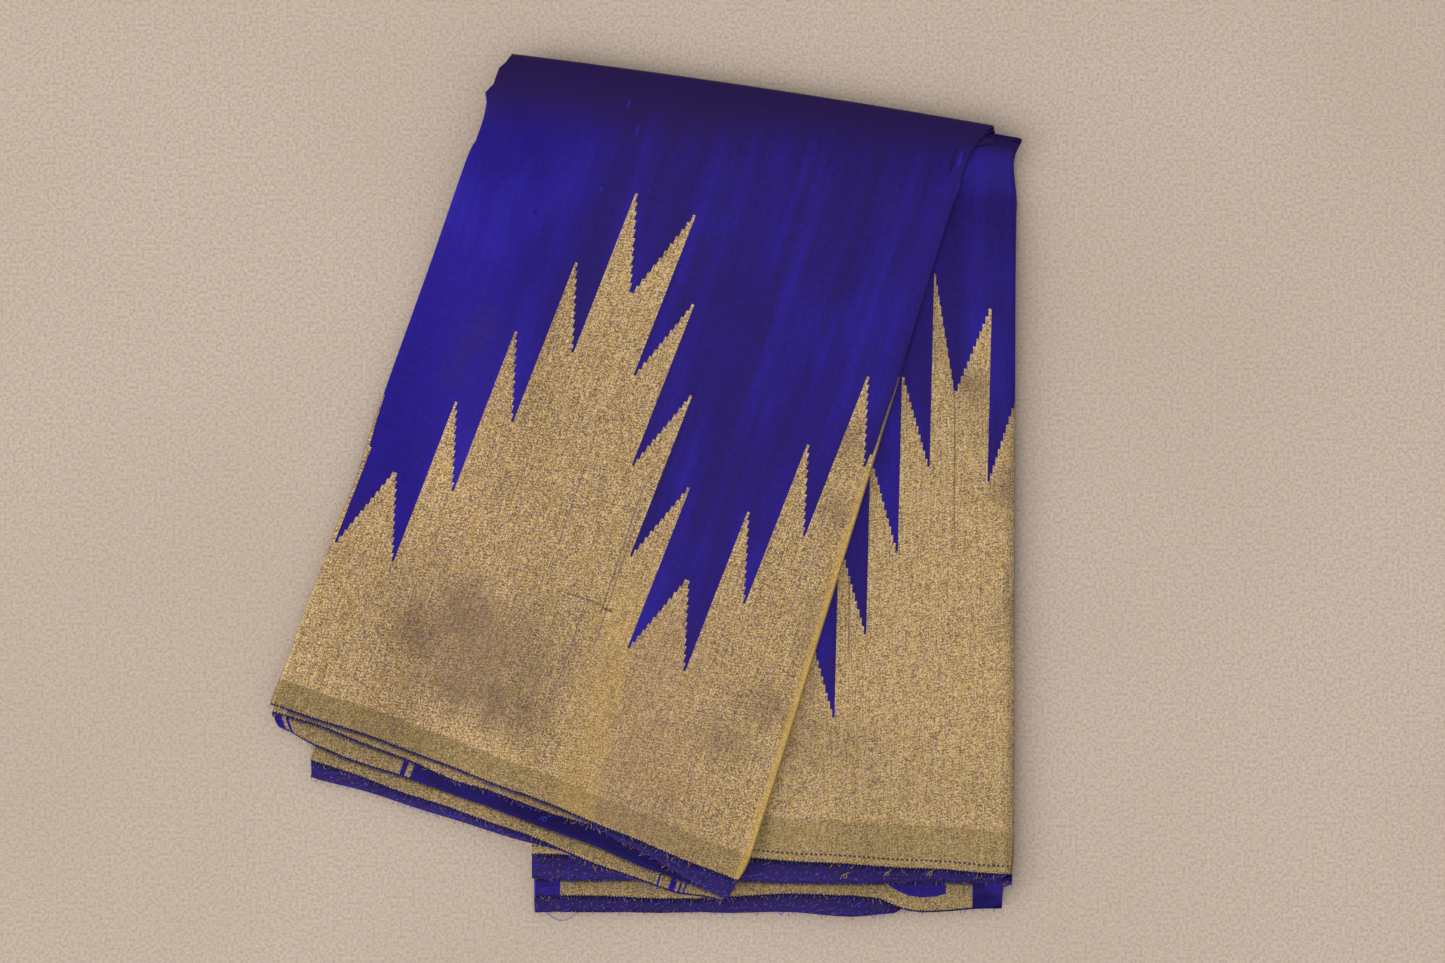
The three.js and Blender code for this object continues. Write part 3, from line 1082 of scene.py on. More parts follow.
def woven_gold(silk, grain):
    """The gold weave with its selvedge bands, before stains and folds, and the floats' height."""
    hump, shade, tint = float_cells(silk)
    worn = silk.noise(55, 3.0, 0.6)
    band = ((silk.from_edge + worn * 0.0015) / silk.either(FLAP_BAND, LOWER_BAND)).ramp(1.10, 1.0)
    olive = band * (abs(silk.along - OLIVE_MIDDLE) / OLIVE_REACH).ramp(1.0, 0.3)
    shown = shown_gold(silk, shade, hump, grain, worn, olive)
    hue = silk.noise(640, 3.0, 0.7, across=0.05) * 0.75 + worn * 0.25
    colour = silk.wash(GAP_BROWN, [
        (shown, -0.1, 0.5, 1.0, GOLD_MID),
        (shown, 0.5, 1.05, 1.0, GOLD_LIGHT),
        (hue, 0.52, 0.68, 0.42, GOLD_MAUVE),
        (hue, 0.50, 0.36, 0.34, GOLD_YELLOW),
    ])
    colour = silk.mix((tint * -2.0 + 1.0).most(0.0), colour, TINT_YELLOW, "MULTIPLY")
    colour = silk.mix((tint * 2.0 - 1.0).most(0.0), colour, TINT_MAUVE, "MULTIPLY")
    specks = silk.noise(700, 2.0, 0.7, along=0.5)
    near_hem = silk.past_hem.ramp(0.030, 0.020)
    colour = silk.wash(colour, [(specks, 0.53, 0.62, near_hem * 0.6, BLUE_EDGE)])
    colour = silk.mix(stains(silk), colour, STAIN)
    return silk.mix(olive * 0.06 + band * 0.40, colour, OLIVE), hump


print("selvedge bands:", FLAP_BAND * 1000, "and", LOWER_BAND * 1000, "mm")

# %% Tones along an old crease
# the crease parts a yellower strip from a pinker one: its place at one width, and how far it leans
TONE_LINE, TONE_WIDTH, TONE_LEAN = FLAP_PANEL - 31.8, 1042, 0.093


def toned(silk, colour):
    """Yellower on one side of the old crease and pinker on the other, only near the flap's hem."""
    line = silk.across * -TONE_LEAN + (TONE_LINE + TONE_LEAN * TONE_WIDTH) * MM
    left = silk.along - line
    low = silk.across.ramp(0.985, 1.060)
    yellow = low * left.ramp(-0.001, 0.001)
    pink = low * left.ramp(0.001, -0.001)
    return silk.wash(colour, [
        (left, 0.050, 0.012, yellow * 0.24, GOLD_YELLOW),
        (left, -0.110, -0.030, pink * 0.22, GOLD_PINK),
    ])


print("old crease at", round(TONE_LINE - FLAP_PANEL, 1), "mm from the flap's middle")

# %% Stitches, folds and the frayed selvedge
STITCH_ROW = 0.0072
STITCH_HALF = 0.0008
STITCHES_A_METRE = 270.0
TEETH_A_METRE = 420.0


def stitched(silk, colour):
    """One row of dark stitches along the selvedge of the lower half."""
    row = silk.from_edge.math("COMPARE", STITCH_ROW, STITCH_HALF)
    stitch = row * ((silk.along * STITCHES_A_METRE).sine() > 0.5) * (silk.along < PANEL * MM)
    return silk.mix(stitch * 0.85, colour, BLUE_EDGE)


def folded(silk, colour):
    """Darker along the lower half's right fold, and a painted highlight along the flap's right fold, with
    painted shade in olive where its gold runs up into the blue.
    """
    right_of_lower = (silk.along > LOWER_PANEL * MM) * (silk.along < PANEL * MM)
    right_of_flap = silk.flap_side * (silk.along < FLAP_PANEL * MM)
    rim = right_of_flap * silk.from_fold.ramp(0.0075, 0.0010)
    return silk.wash(colour, [
        (silk.from_fold, 0.010, 0.001, right_of_lower * 0.35, STAIN),
        (silk.from_edge, 0.36, 0.30, rim * 0.55, GOLD_RIM_HIGHLIGHT),
        (silk.from_edge, 0.335, 0.365, rim * 0.65, OLIVE),
    ])


def gold_colour(silk, grain):
    colour, hump = woven_gold(silk, grain)
    colour = folded(silk, handled(silk, stitched(silk, toned(silk, colour))))
    teeth = (silk.along * TEETH_A_METRE).sine() * 0.0010 + grain * 0.0016
    return silk.mix(silk.from_edge < teeth, colour, BLUE_EDGE), hump


print("stitches:", round(1000 / STITCHES_A_METRE, 1), "mm apart")

# %% [markdown]
# ## Blue silk
# The blue ground is plain silk with streaks along the warp, slow clouds where it was handled and thicker
# weft yarns here and there. The roll of the big fold gets painted shade where it turns away from the light,
# with a painted highlight below it, and the flap's left flank gets a purer blue as painted sheen. Painted
# shade also darkens the mouth between the flap's layers, streaks in the hem strips, the end of one lower
# strip and a small tuck, which also gets a painted highlight. Washes of colour are laid one over the other,
# each with its own pattern, as a dyer would build up a shade.

# %% Colours of the blue
BLUE = (0.0316, 0.0167, 0.232)
BLUE_DEEP = (0.0265, 0.0160, 0.136)
BLUE_LIGHT = (0.0376, 0.0267, 0.455)
BLUE_BRIGHT = (0.045, 0.035, 0.850)
BLUE_MOTTLE = (0.0270, 0.0155, 0.105)
# painted shade for the roll of the big fold, where it turns away from the light
BLUE_ROLL_SHADE = (0.033, 0.017, 0.108)
# BLUE_MOUTH is painted shade: in the mouth between the flap's layers, in streaks of the hem strips and
# beside a small tuck; two small dark dots use it too
BLUE_MOUTH = (0.009, 0.006, 0.048)
# painted sheen: the flap's left flank, which faces the light, is a purer blue
BLUE_FLANK_SHEEN = (0.0190, 0.0098, 0.232)
FLANK_START, FLANK_END = 0.07, 0.18
MOUTH_MIDDLE = (panel_middle(5) - 40) * MM
MOUTH_REACH = 0.165
MOUTH_DEPTH = 0.05
END_MIDDLE, END_HALF = panel_middle(14) + 172, 18

# marks in the blue: centre along and across the silk, reach along and across, and its colour
MARKS = [
    (FLAP_PANEL + 101, 685, 0.8, 4.0, BLUE_BRIGHT),
    (FLAP_PANEL + 89, 696, 0.9, 3.2, BLUE_BRIGHT),
    (FLAP_PANEL + 102, 742, 1.2, 2.0, BLUE_BRIGHT),
    (FLAP_PANEL + 144.6, 776, 2.0, 2.0, BLUE_MOUTH),
    (FLAP_PANEL + 107.3, 776, 1.4, 1.4, BLUE_MOUTH),
    # the next two are a painted highlight and painted shade on a small tuck near the roll's right end
    (FLAP_PANEL - 154, 634, 1.4, 5.0, BLUE_BRIGHT),
    (FLAP_PANEL - 149, 637, 1.8, 9.0, BLUE_MOUTH),
]
print(len(MARKS), "marks in the blue")

# %% The blue ground


def strands(silk, colour):
    """Slack bright yarns in the blue strips along the hems, and painted shade in dark streaks between them.
    """
    strand = silk.noise(640, 2.0, 0.6, along=0.2)
    near = silk.from_edge.ramp(0.034, 0.024)
    return silk.wash(colour, [
        (strand, 0.43, 0.33, near * 0.5, BLUE_MOUTH),
        (strand, 0.60, 0.68, near * 0.55, BLUE_BRIGHT),
    ])


def shaded_roll(silk, colour, streaks, clouds):
    """Painted shade on the roll of the big fold, darker inside it where it turns away from the light, and a
    painted highlight a little below it.
    """
    leftward = (silk.along - FLAP_PANEL * MM).ramp(-0.1, 0.1) * 0.016
    crest = silk.from_crest + streaks * 0.012 - leftward - 0.006
    below_roll = (silk.from_crest + clouds * 0.016).ramp(-0.062, -0.030) * silk.lower_side
    return silk.wash(colour, [
        (crest, -0.026, -0.010, crest.ramp(0.050, 0.018) * 0.9, BLUE_ROLL_SHADE),
        (crest, -0.022, -0.030, below_roll * 0.18, BLUE_LIGHT),
        (crest, -0.024, -0.012, silk.lower_side * 0.6, BLUE_EDGE),
    ])


def blue_colour(silk, grain):
    streaks = silk.noise(60, 4.0, 0.65, across=0.03)
    clouds = silk.noise(24, 3.0, 0.5, across=0.35)
    wefts = silk.noise(420, 2.0, 0.7, along=0.06)
    fleck = silk.noise(520, 2.0, 0.6, across=0.6)
    colour = silk.wash(BLUE_DEEP, [
        (streaks, 0.30, 0.70, 1.0, BLUE),
        # painted sheen on the flap's left flank
        (silk.along - FLAP_PANEL * MM, FLANK_START, FLANK_END, silk.flap_side * 0.8, BLUE_FLANK_SHEEN),
        (clouds, 0.50, 0.30, 0.65, BLUE_DEEP),
        (clouds * 0.75 + streaks * 0.25, 0.48, 0.68, 0.44, BLUE_LIGHT),
        (wefts * 0.3 + grain * 0.7, 0.42, 0.72, 0.24, BLUE_LIGHT),
        (fleck * 0.6 + grain * 0.4, 0.52, 0.36, 0.36, BLUE_MOTTLE),
    ])
    colour = shaded_roll(silk, colour, streaks, clouds)
    colour = silk.wash(colour, [(wefts * 0.6 + fleck * 0.4, 0.66, 0.76, 0.4, BLUE_LIGHT)])
    colour = strands(silk, colour)
    # painted shade in the mouth between the flap's layers, darkest at its middle
    from_mouth = abs(silk.along - MOUTH_MIDDLE) / MOUTH_REACH + grain * 0.1
    in_strip = silk.from_edge < MOUTH_DEPTH
    colour = silk.wash(colour, [(from_mouth, 1.1, 0.7, in_strip * 0.75, BLUE_MOUTH)])
    for x, y, reach_x, reach_y, tone in MARKS:
        dx, dy = silk.offset(x, y, reach_x, reach_y)
        colour = silk.wash(colour, [(dx * dx + dy * dy, 1.2, 0.3, 0.42, tone)])
    # painted shade over the end of one strip of the lower half, darkest near its hem
    end_shade = silk.from_edge.ramp(0.013, 0.009) * 0.5 + 0.25
    colour = silk.mix(silk.band(END_MIDDLE, END_HALF) * end_shade, colour, BLUE_EDGE)
    return silk.wash(colour, [(fleck, 0.31, 0.24, 0.6, BLUE_EDGE)]), wefts


print("blue from", BLUE_DEEP, "to", BLUE_LIGHT)

# %% [markdown]
# ## The face
# Gold and blue are one cloth, so one material carries both, and the border's number chooses between
# them at every point. Silk shines without a hard glint: most of its light comes back in the colour of
# the yarn, so the finish is part metallic with little plain gloss on top.

# %% The face of the silk
SHADOW = (0.012, 0.009, 0.022)
SILK_GLOSS = 0.08
BLUE_METALLIC, GOLD_METALLIC = 0.85, 0.60
BLUE_ROUGHNESS, GOLD_ROUGHNESS, GRAIN_ROUGHNESS = 0.28, 0.36, 0.1
WEAVE_STRENGTH, WEAVE_DEPTH = 0.5, 0.00025


def painted_hem_shade(silk, colour):
    """Painted shade right under the hem that lies above: a dark line at the hem and a softer band past it.
    """
    line = silk.past_hem.ramp(0.0034, 0.0004) * 0.62
    soft = silk.past_hem.ramp(0.0160, 0.0020) * (silk.lower_side * 0.14 + 0.16)
    return silk.mix(line + soft, colour, SHADOW)


def face_finish():
    finish, tree, shader = new_finish("silk_face")
    silk = Silk(tree)
    gold = border(silk)
    grain = silk.noise(380, 3.0, 0.65, across=0.6)
    metal, hump = gold_colour(silk, grain)
    ground, wefts = blue_colour(silk, grain)
    colour = painted_hem_shade(silk, silk.mix(gold, ground, metal))
    tree.links.new(colour, shader.inputs["Base Color"])
    metallic = gold * (GOLD_METALLIC - BLUE_METALLIC) + BLUE_METALLIC
    roughness = gold * (GOLD_ROUGHNESS - BLUE_ROUGHNESS) + BLUE_ROUGHNESS + grain * GRAIN_ROUGHNESS
    feed(tree, shader.inputs["Metallic"], metallic)
    feed(tree, shader.inputs["Roughness"], roughness)
    shader.inputs["Specular IOR Level"].default_value = SILK_GLOSS
    weave = gold * (hump * 0.9 + grain * 0.3) + gold.flip() * (wefts * 0.3 + grain * 0.2)
    roughen(tree, shader, weave, WEAVE_STRENGTH, WEAVE_DEPTH)
    return finish


face_silk = face_finish()
print("face:", len(face_silk.node_tree.nodes), "nodes")

# %% [markdown]
# ## The reverse
# Inside the doubled cloth the gold floats lie underneath, so the reverse shows blue twill with only
# thin, broken gold lines where the weft dips through. A second material on the same mesh does this,
# because each face of the sheet knows which side it is.

# %% The reverse of the silk
REVERSE_BLUE = (0.0300, 0.0180, 0.128)
REVERSE_LINE = (0.051, 0.033, 0.252)
REVERSE_GOLD = (0.260, 0.180, 0.100)
REVERSE_PITCH = 0.0019
REVERSE_ANGLE = math.radians(-38)
REVERSE_METALLIC = 0.6
REVERSE_DEPTH = 0.0003


def reverse_finish():
    finish, tree, shader = new_finish("silk_reverse")
    silk = Silk(tree)
    over, beside = slanted(silk, REVERSE_ANGLE)
    ridge = (over / REVERSE_PITCH).sine()
    broken = noise(tree, spot(tree, beside, over * 2.0), 330, 2.0)
    colour = silk.wash(REVERSE_BLUE, [
        (ridge * 0.7 + broken * 0.4, 0.62, 1.0, 0.7, REVERSE_LINE),
        (broken, 0.58, 0.71, 0.55, REVERSE_GOLD),
    ])
    colour = painted_hem_shade(silk, strands(silk, colour))
    tree.links.new(colour, shader.inputs["Base Color"])
    feed(tree, shader.inputs["Roughness"], broken * 0.2 + 0.45)
    shader.inputs["Metallic"].default_value = REVERSE_METALLIC
    shader.inputs["Specular IOR Level"].default_value = SILK_GLOSS
    roughen(tree, shader, ridge * 0.8 + broken * 0.3, WEAVE_STRENGTH, REVERSE_DEPTH)
    return finish


reverse_silk = reverse_finish()
mesh.materials.append(face_silk)
mesh.materials.append(reverse_silk)
print("reverse:", len(reverse_silk.node_tree.nodes), "nodes")

# %% [markdown]
# ## Frayed hems
# Where hems were cut and handled, single yarns stand out: blue warp ends and small gold loops. One
# bent hair is made once and Geometry Nodes set it along every hem that shows, turned and scaled at
# random from a fixed seed. A particle system would also do, but it can't be exported.

# %% Hem lines for the hairs to follow
FRAYED_FLAP = [(0, "B"), (0, "A"), (1, "A"), (2, "B"), (3, "A"), (3, "B")]
FRAYED_LOWER = [(7, "B"), (7, "A"), (6, "A"), (6, "B")]


def panel_range(ply):
    """First and last point of a panel along the section."""
    number = PATH.index(ply)
    counts = [len(cuts_of(p)) + 2 for p in PATH]
    start = sum(counts[:number]) + len(TURN_ANGLES) * number
    return start, start + counts[number]


def hem_lines():
    lines = []
    for plies, ring in ((FRAYED_FLAP, -1), (FRAYED_LOWER, 0)):
        for ply in plies:
            start, end = panel_range(ply)
            edge = (face_rings[ring, start:end] + reverse_rings[ring, start:end]) / 2
            lines.append(edge if edge[0, 0] < edge[-1, 0] else edge[::-1])
    return lines


def line_object(name, lines):
    spots, edges = [], []
    for line in lines:
        first = len(spots)
        spots += [tuple(p) for p in line]
        edges += [(i, i + 1) for i in range(first, len(spots) - 1)]
    made = bpy.data.meshes.new(name)
    made.from_pydata(spots, edges, [])
    return placed(name, made)


hems = hem_lines()
print(len(hems), "frayed hems")

# %% A Geometry Nodes tree with named inputs
FRAY_INPUTS = {
    "Hem lines": "Geometry",
    "Spacing": "Float",
    "Hair length": "Float",
    "Hair radius share": "Float",
    "Sideways spread": "Float",
    "Curl": "Float",
    "Seed": "Int",
    "Finish": "Material",
}


class GrowingTree:
    """A Geometry Nodes tree with named inputs, built up node by node."""

    def __init__(self, name, inputs, output):
        self.group = bpy.data.node_groups.new(name, "GeometryNodeTree")
        for label, kind in inputs.items():
            self.group.interface.new_socket(label, in_out="INPUT", socket_type="NodeSocket" + kind)
        self.group.interface.new_socket(output, in_out="OUTPUT", socket_type="NodeSocketGeometry")
        self.given = self.group.nodes.new("NodeGroupInput").outputs

    def add(self, kind, inputs, **settings):
        """One node. Each input is a plain value or another node's output."""
        node = self.group.nodes.new(kind)
        for key, value in settings.items():
            setattr(node, key, value)
        for key, value in inputs.items():
            if isinstance(value, bpy.types.NodeSocket):
                self.group.links.new(value, node.inputs[key])
            else:
                node.inputs[key].default_value = value
        return node.outputs


print(len(FRAY_INPUTS), "inputs:", ", ".join(FRAY_INPUTS))

# %% One hair, its turn and its length
# how far a hair may roll round itself and nod, in radians
HAIR_ROLL, HAIR_NOD = 3.1, 0.30
SHORTEST_HAIR, LONGEST_HAIR = 0.15, 1.0
HAIR_START, HAIR_END = (-0.08, 0, 0), (1.0, 0, 0)
HAIR_MIDDLE = 0.55
HAIR_STEPS = 5
HAIR_SIDES = 3
UP = (0, 0, 1)


def spaced_points(tree):
    """Evenly spaced points along the hems."""
    curve = tree.add("GeometryNodeMeshToCurve", {"Mesh": tree.given["Hem lines"]})
    lengths = {"Curve": curve[0], "Length": tree.given["Spacing"]}
    return tree.add("GeometryNodeResampleCurve", lengths, mode="LENGTH")[0]


def random_turn(tree):
    """Each hair points away from the cloth, then turns a little at random."""
    tangent = tree.add("GeometryNodeInputTangent", {})
    outward = tree.add("ShaderNodeVectorMath", {0: tangent[0], 1: UP}, operation="CROSS_PRODUCT")
    aim = tree.add("FunctionNodeAlignRotationToVector", {"Vector": outward[0]}, axis="X")
    reach = tree.add("ShaderNodeCombineXYZ", {0: HAIR_ROLL, 1: HAIR_NOD, 2: tree.given["Sideways spread"]})
    back = tree.add("ShaderNodeVectorMath", {0: reach[0], "Scale": -1}, operation="SCALE")
    limits = {0: back[0], 1: reach[0], "Seed": tree.given["Seed"]}
    bend = tree.add("FunctionNodeRandomValue", limits, data_type="FLOAT_VECTOR")
    turn_by = tree.add("FunctionNodeEulerToRotation", {0: bend[0]})
    turns = {"Rotation": aim[0], "Rotate By": turn_by[0]}
    return tree.add("FunctionNodeRotateRotation", turns, rotation_space="LOCAL")[0]


def random_length(tree):
    """Many short hairs and a few long ones: a random number, squared."""
    limits = {2: SHORTEST_HAIR, 3: LONGEST_HAIR, "Seed": tree.given["Seed"]}
    size = tree.add("FunctionNodeRandomValue", limits, data_type="FLOAT")
    squared = tree.add("ShaderNodeMath", {0: size[1], 1: size[1]}, operation="MULTIPLY")
    scaled = {0: squared[0], 1: tree.given["Hair length"]}
    return tree.add("ShaderNodeMath", scaled, operation="MULTIPLY")[0]


def bent_hair(tree):
    """One hair of length 1, bent to the side by the curl."""
    middle = tree.add("ShaderNodeCombineXYZ", {0: HAIR_MIDDLE, 1: tree.given["Curl"]})
    ends = {"Resolution": HAIR_STEPS, "Start": HAIR_START, "Middle": middle[0], "End": HAIR_END}
    line = tree.add("GeometryNodeCurveQuadraticBezier", ends)
    round_section = {"Resolution": HAIR_SIDES, "Radius": tree.given["Hair radius share"]}
    ring = tree.add("GeometryNodeCurvePrimitiveCircle", round_section)
    tube = {"Curve": line[0], "Profile Curve": ring[0], "Fill Caps": True}
    return tree.add("GeometryNodeCurveToMesh", tube)[0]


print("one hair of", HAIR_STEPS, "steps and", HAIR_SIDES, "sides")

# %% The fray tree


def fray_tree():
    tree = GrowingTree("hem_fray", FRAY_INPUTS, "Frays")
    hairs = tree.add("GeometryNodeInstanceOnPoints", {
        "Points": spaced_points(tree),
        "Instance": bent_hair(tree),
        "Rotation": random_turn(tree),
        "Scale": random_length(tree),
    })
    real = tree.add("GeometryNodeRealizeInstances", {0: hairs[0]})
    frays = tree.add("GeometryNodeSetMaterial", {"Geometry": real[0], "Material": tree.given["Finish"]})
    tree.add("NodeGroupOutput", {0: frays[0]})
    return tree.group


def socket_id(tree, name):
    return next(item.identifier for item in tree.interface.items_tree
                if item.name == name and item.in_out == "INPUT")


def grown(source, tree, name, sizes):
    """Runs the tree on the lines and keeps the result as a plain mesh object."""
    modifier = source.modifiers.new("fray", "NODES")
    modifier.node_group = tree
    for key, value in sizes.items():
        modifier[socket_id(tree, key)] = value
    evaluated = source.evaluated_get(bpy.context.evaluated_depsgraph_get())
    made = bpy.data.meshes.new_from_object(evaluated)
    made.name = name
    source.modifiers.clear()
    return placed(name, made)


fray = fray_tree()
print("fray tree:", len(fray.nodes), "nodes")

# %% Yarn finishes


def yarn_finish(name, dark, light, metallic):
    finish, tree, shader = new_finish(name)
    where = tree.nodes.new("ShaderNodeTexCoord").outputs["Object"]
    tree.links.new(mixed(tree, noise(tree, where, 900, 2.0).ramp(0.35, 0.65), dark, light),
                   shader.inputs["Base Color"])
    feed(tree, shader.inputs["Roughness"], noise(tree, where, 500, 1.0) * 0.3 + 0.35)
    shader.inputs["Metallic"].default_value = metallic
    return finish


blue_yarn = yarn_finish("blue_yarn", dark=(0.02, 0.012, 0.22), light=(0.055, 0.04, 0.85), metallic=0.0)
gold_yarn = yarn_finish("gold_yarn", dark=(0.30, 0.19, 0.07), light=(0.62, 0.43, 0.16), metallic=0.6)
print("yarn finishes:", blue_yarn.name, gold_yarn.name)

# %% Grow the frays
source = line_object("hem_lines", hems)
blue_frays = grown(source, fray, "blue_frays", {
    "Spacing": 0.0021, "Hair length": 0.0034, "Hair radius share": 0.095,
    "Sideways spread": 1.0, "Curl": 0.16, "Seed": 7, "Finish": blue_yarn,
})
gold_frays = grown(source, fray, "gold_frays", {
    "Spacing": 0.0034, "Hair length": 0.0042, "Hair radius share": 0.056,
    "Sideways spread": 1.2, "Curl": 0.45, "Seed": 23, "Finish": gold_yarn,
})
bpy.data.objects.remove(source)
for obj in (blue_frays, gold_frays):
    print(obj.name, len(obj.data.polygons), "faces")

# %% [markdown]
# ## Loose yarns
# One pale blue yarn has slipped out of the lowest hem and lies on the table in a loop. Three gold
# curls and two blue yarns lie on the hems. A curve with a round bevel gives an even yarn. It is made
# a mesh at once, so that it exports as it looks.

# %% Routes of the loose yarns
YARN_RADIUS = 0.00022
# across and down from the fold's origin, in millimetres, on the table
YARN_ROUTE = [
    (-180, -630), (-177, -634), (-171, -638.5), (-164, -641), (-158, -638.5), (-152, -634), (-148, -630),
]
# ply a curl lies on, its place across, its distance in from the hem, its size
GOLD_CURLS = [((7, "A"), 50, 5.5, 2.0), ((7, "A"), 90, 7.0, 1.6), ((7, "A"), 115, 6.0, 1.8)]
BLUE_CURLS = [((6, "B"), 70, 9.0, 1.9), ((2, "B"), 14, 6.0, 2.4)]
# one curl as steps sideways and up the cloth
CURL = [
    (-1.6, -1.2), (-1.0, 0.3), (-0.2, 1.1), (0.9, 0.7), (0.9, -0.5),
    (0.0, -0.9), (-0.7, -0.1), (0.3, 1.0), (1.9, 1.6),
]


def curl_route(ply, across, inward, size):
    """A curl's route over the hem it lies on, found from the silk's own points."""
    start, end = panel_range(ply)
    ring, next_ring = (0, 2) if ply[0] > LAYERS / 2 else (-1, -3)
    sides = np.maximum(face_rings[:, start:end], reverse_rings[:, start:end])
    rows, _ = section(-1 if ring == 0 else 1)
    places = np.sort(np.argsort(abs(rows[start:end, ACROSS] - across))[:2])
    hem = sides[ring, places].mean(0)
    sideways = np.diff(sides[ring, places], axis=0)[0]
    sideways = sideways / np.linalg.norm(sideways) * np.sign(sideways[0])
    upward = sides[next_ring, places].mean(0) - hem
    upward = upward / np.linalg.norm(upward)
    middle = hem + upward * inward * MM
    route = [middle + (sideways * a + upward * b) * size * MM for a, b in CURL]
    return [(x, y, z + YARN_RADIUS * 1.5) for x, y, z in route]


def table_route(route):
    """The yarn lies on the table and rises by its own radius at every other point."""
    spots = to_frame(np.array([(x, y, 0) for x, y in route]))
    return [(x, y, YARN_RADIUS * (1 + i % 2)) for i, (x, y, _) in enumerate(spots)]


print(len(GOLD_CURLS), "gold curls and", len(BLUE_CURLS), "blue ones")

# %% Lay the loose yarns


def laid_yarn(name, routes, finish):
    curve = bpy.data.curves.new(name, "CURVE")
    curve.dimensions = "3D"
    curve.bevel_depth = YARN_RADIUS
    curve.bevel_resolution = 1
    curve.resolution_u = 6
    for route in routes:
        line = curve.splines.new("NURBS")
        line.points.add(len(route) - 1)
        for point, place in zip(line.points, route):
            point.co = (*place, 1)
        line.use_endpoint_u = True
        line.order_u = 4
    rough = placed(name, curve)
    made = bpy.data.meshes.new_from_object(rough.evaluated_get(bpy.context.evaluated_depsgraph_get()))
    bpy.data.objects.remove(rough)
    made.name = name
    made.materials.clear()
    made.materials.append(finish)
    return placed(name, made)


pale_yarn = yarn_finish("pale_yarn", dark=(0.16, 0.15, 0.40), light=(0.34, 0.33, 0.60), metallic=0.0)
loose_yarn = laid_yarn("loose_yarn", [table_route(YARN_ROUTE)], pale_yarn)
gold_curls = laid_yarn("gold_curls", [curl_route(*row) for row in GOLD_CURLS], gold_yarn)
blue_curls = laid_yarn("blue_curls", [curl_route(*row) for row in BLUE_CURLS], blue_yarn)
yarns = [blue_frays, gold_frays, loose_yarn, gold_curls, blue_curls]
for obj in yarns[2:]:
    print(obj.name, len(obj.data.polygons), "faces")

# %% [markdown]
# ## Floor, light and camera
# The sari lies on a plain pale floor. A large soft light stands low on the left, and a sky that is
# brightest on the same side fills the shadows. A photographed sky would light it as well, but two
# plain lights can be moved. The camera looks straight down, from far enough away to keep the stack
# from spreading.

# %% A plain pale floor
FLOOR_SIZE = 6.0
FLOOR_DULL = (0.570, 0.465, 0.383)
FLOOR_PALE = (0.622, 0.513, 0.427)
FLOOR_GRAIN = (0.395, 0.310, 0.248)


def floor_finish():
    finish, tree, shader = new_finish("pale_floor")
    where = tree.nodes.new("ShaderNodeTexCoord").outputs["Object"]
    cloudy = noise(tree, where, 2.5, 2.0)
    fine = noise(tree, where, 420, 3.0, 0.6)
    colour = mixed(tree, cloudy.ramp(0.3, 0.7), FLOOR_DULL, FLOOR_PALE)
    colour = mixed(tree, fine.ramp(0.35, 0.7) * 0.72, colour, FLOOR_GRAIN)
    tree.links.new(colour, shader.inputs["Base Color"])
    feed(tree, shader.inputs["Roughness"], fine * 0.1 + 0.7)
    roughen(tree, shader, fine, 0.15, 0.0004)
    return finish


def make_floor():
    half = FLOOR_SIZE / 2
    made = bpy.data.meshes.new("floor")
    corners = [(-half, -half, 0), (half, -half, 0), (half, half, 0), (-half, half, 0)]
    made.from_pydata(corners, [], [(0, 1, 2, 3)])
    made.materials.append(floor_finish())
    return placed("floor", made)


floor = make_floor()
print("floor:", FLOOR_SIZE, "m square")

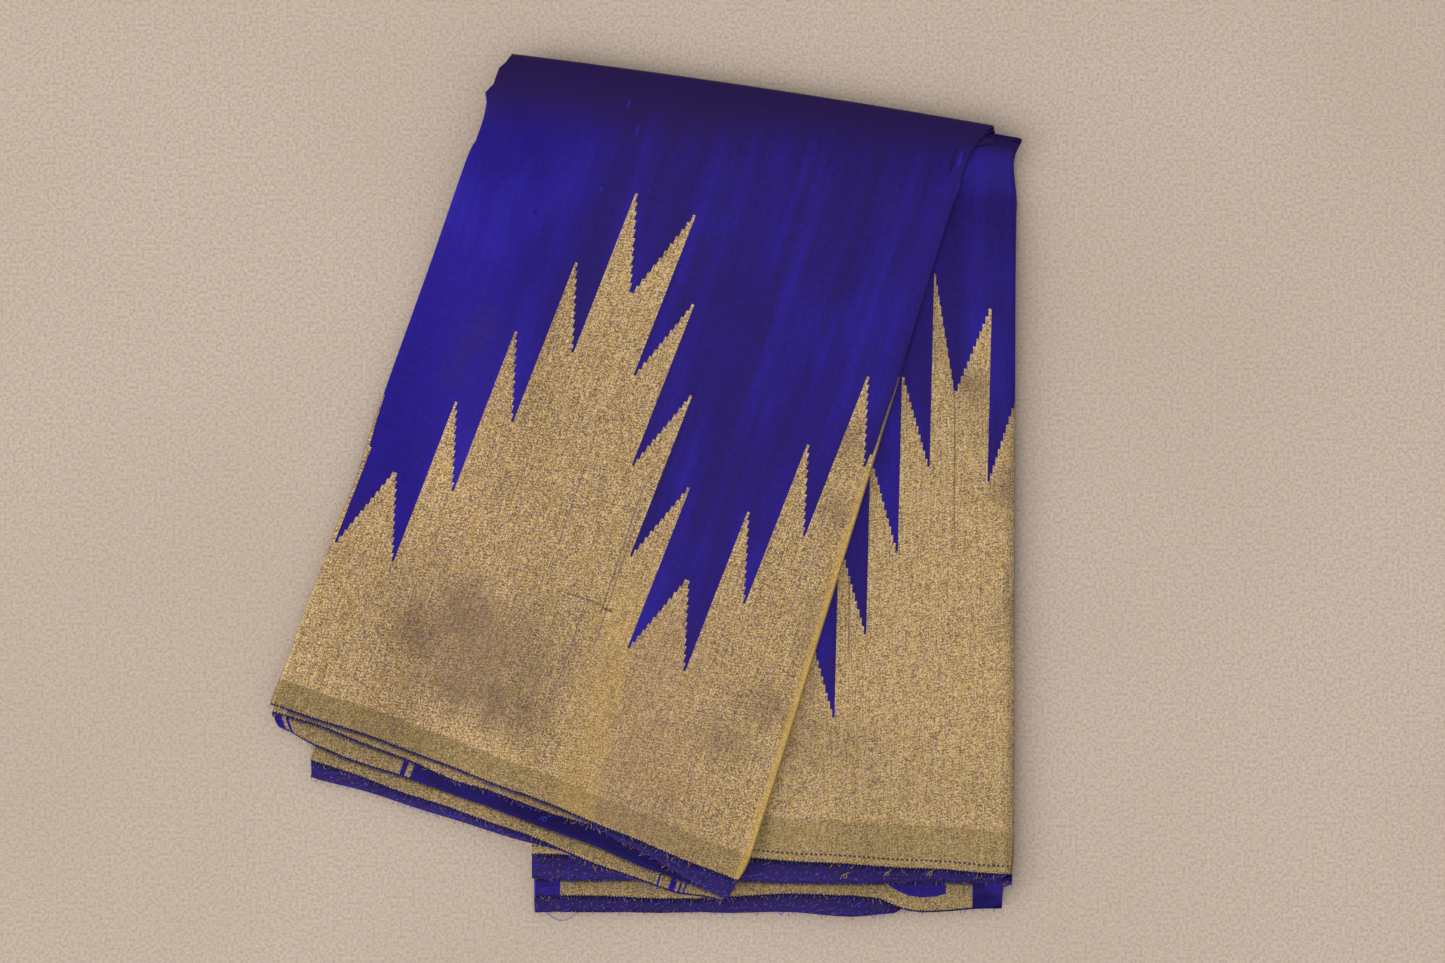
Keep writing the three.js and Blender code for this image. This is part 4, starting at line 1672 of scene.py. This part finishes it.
# %% Soft studio light
KEY_PLACE = (-8.4, -2.8, 3.4)
KEY_TARGET = (0.05, 0, 0)
KEY_SIZE = 4.8
KEY_POWER = 260
KEY_COLOUR = (1.0, 0.975, 0.95)
SKY_SIDE = (-0.815, -0.376, 0.439)
SKY_LEVEL, SKY_SLOPE, SKY_LEAST = 0.24, 1.44, 0.55
SKY_COLOUR = (1.0, 0.98, 0.96)


def soft_light(name, place, target, size, power, colour):
    lamp = bpy.data.lights.new(name, "AREA")
    lamp.shape = "DISK"
    lamp.size = size
    lamp.energy = power
    lamp.color = colour
    obj = placed(name, lamp)
    obj.location = place
    aim = Vector(target) - Vector(place)
    obj.rotation_euler = aim.to_track_quat("-Z", "Y").to_euler()


def sloping_sky(name, towards, level, slope, least):
    """A sky that is brightest on one side and fades to the other."""
    sky = bpy.data.worlds.new(name)
    sky.use_nodes = True
    tree = sky.node_tree
    look = tree.nodes.new("ShaderNodeTexCoord").outputs["Generated"]
    facing = tree.nodes.new("ShaderNodeVectorMath")
    facing.operation = "DOT_PRODUCT"
    tree.links.new(look, facing.inputs[0])
    facing.inputs[1].default_value = Vector(towards).normalized()
    strength = Number(tree, facing.outputs["Value"]) * slope + level
    feed(tree, tree.nodes["Background"].inputs["Strength"], strength.most(least))
    tree.nodes["Background"].inputs["Color"].default_value = (*SKY_COLOUR, 1)
    bpy.context.scene.world = sky


soft_light("key_light", KEY_PLACE, KEY_TARGET, KEY_SIZE, KEY_POWER, KEY_COLOUR)
sloping_sky("studio_sky", SKY_SIDE, SKY_LEVEL, SKY_SLOPE, SKY_LEAST)
bpy.context.scene.view_settings.view_transform = "Standard"
print("one large soft light and a sky that is brightest on its side")

# %% Camera straight above
VIEW_WIDTH = 1.1127
LOOK_AT = (0.0576, 0.0020)
CLOTH_TOP = 0.018
LENS = 80.0
SENSOR = 36.0
camera = bpy.data.cameras.new("camera")
camera.lens = LENS
camera.sensor_width = SENSOR
eye = placed("camera", camera)
eye.location = (*LOOK_AT, CLOTH_TOP + VIEW_WIDTH * LENS / SENSOR)
bpy.context.scene.camera = eye
print("camera height:", round(eye.location.z, 3), "m")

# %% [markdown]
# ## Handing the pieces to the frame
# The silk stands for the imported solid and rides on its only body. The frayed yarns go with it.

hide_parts("sari")
for piece in [sari, *yarns]:
    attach(piece, "root")
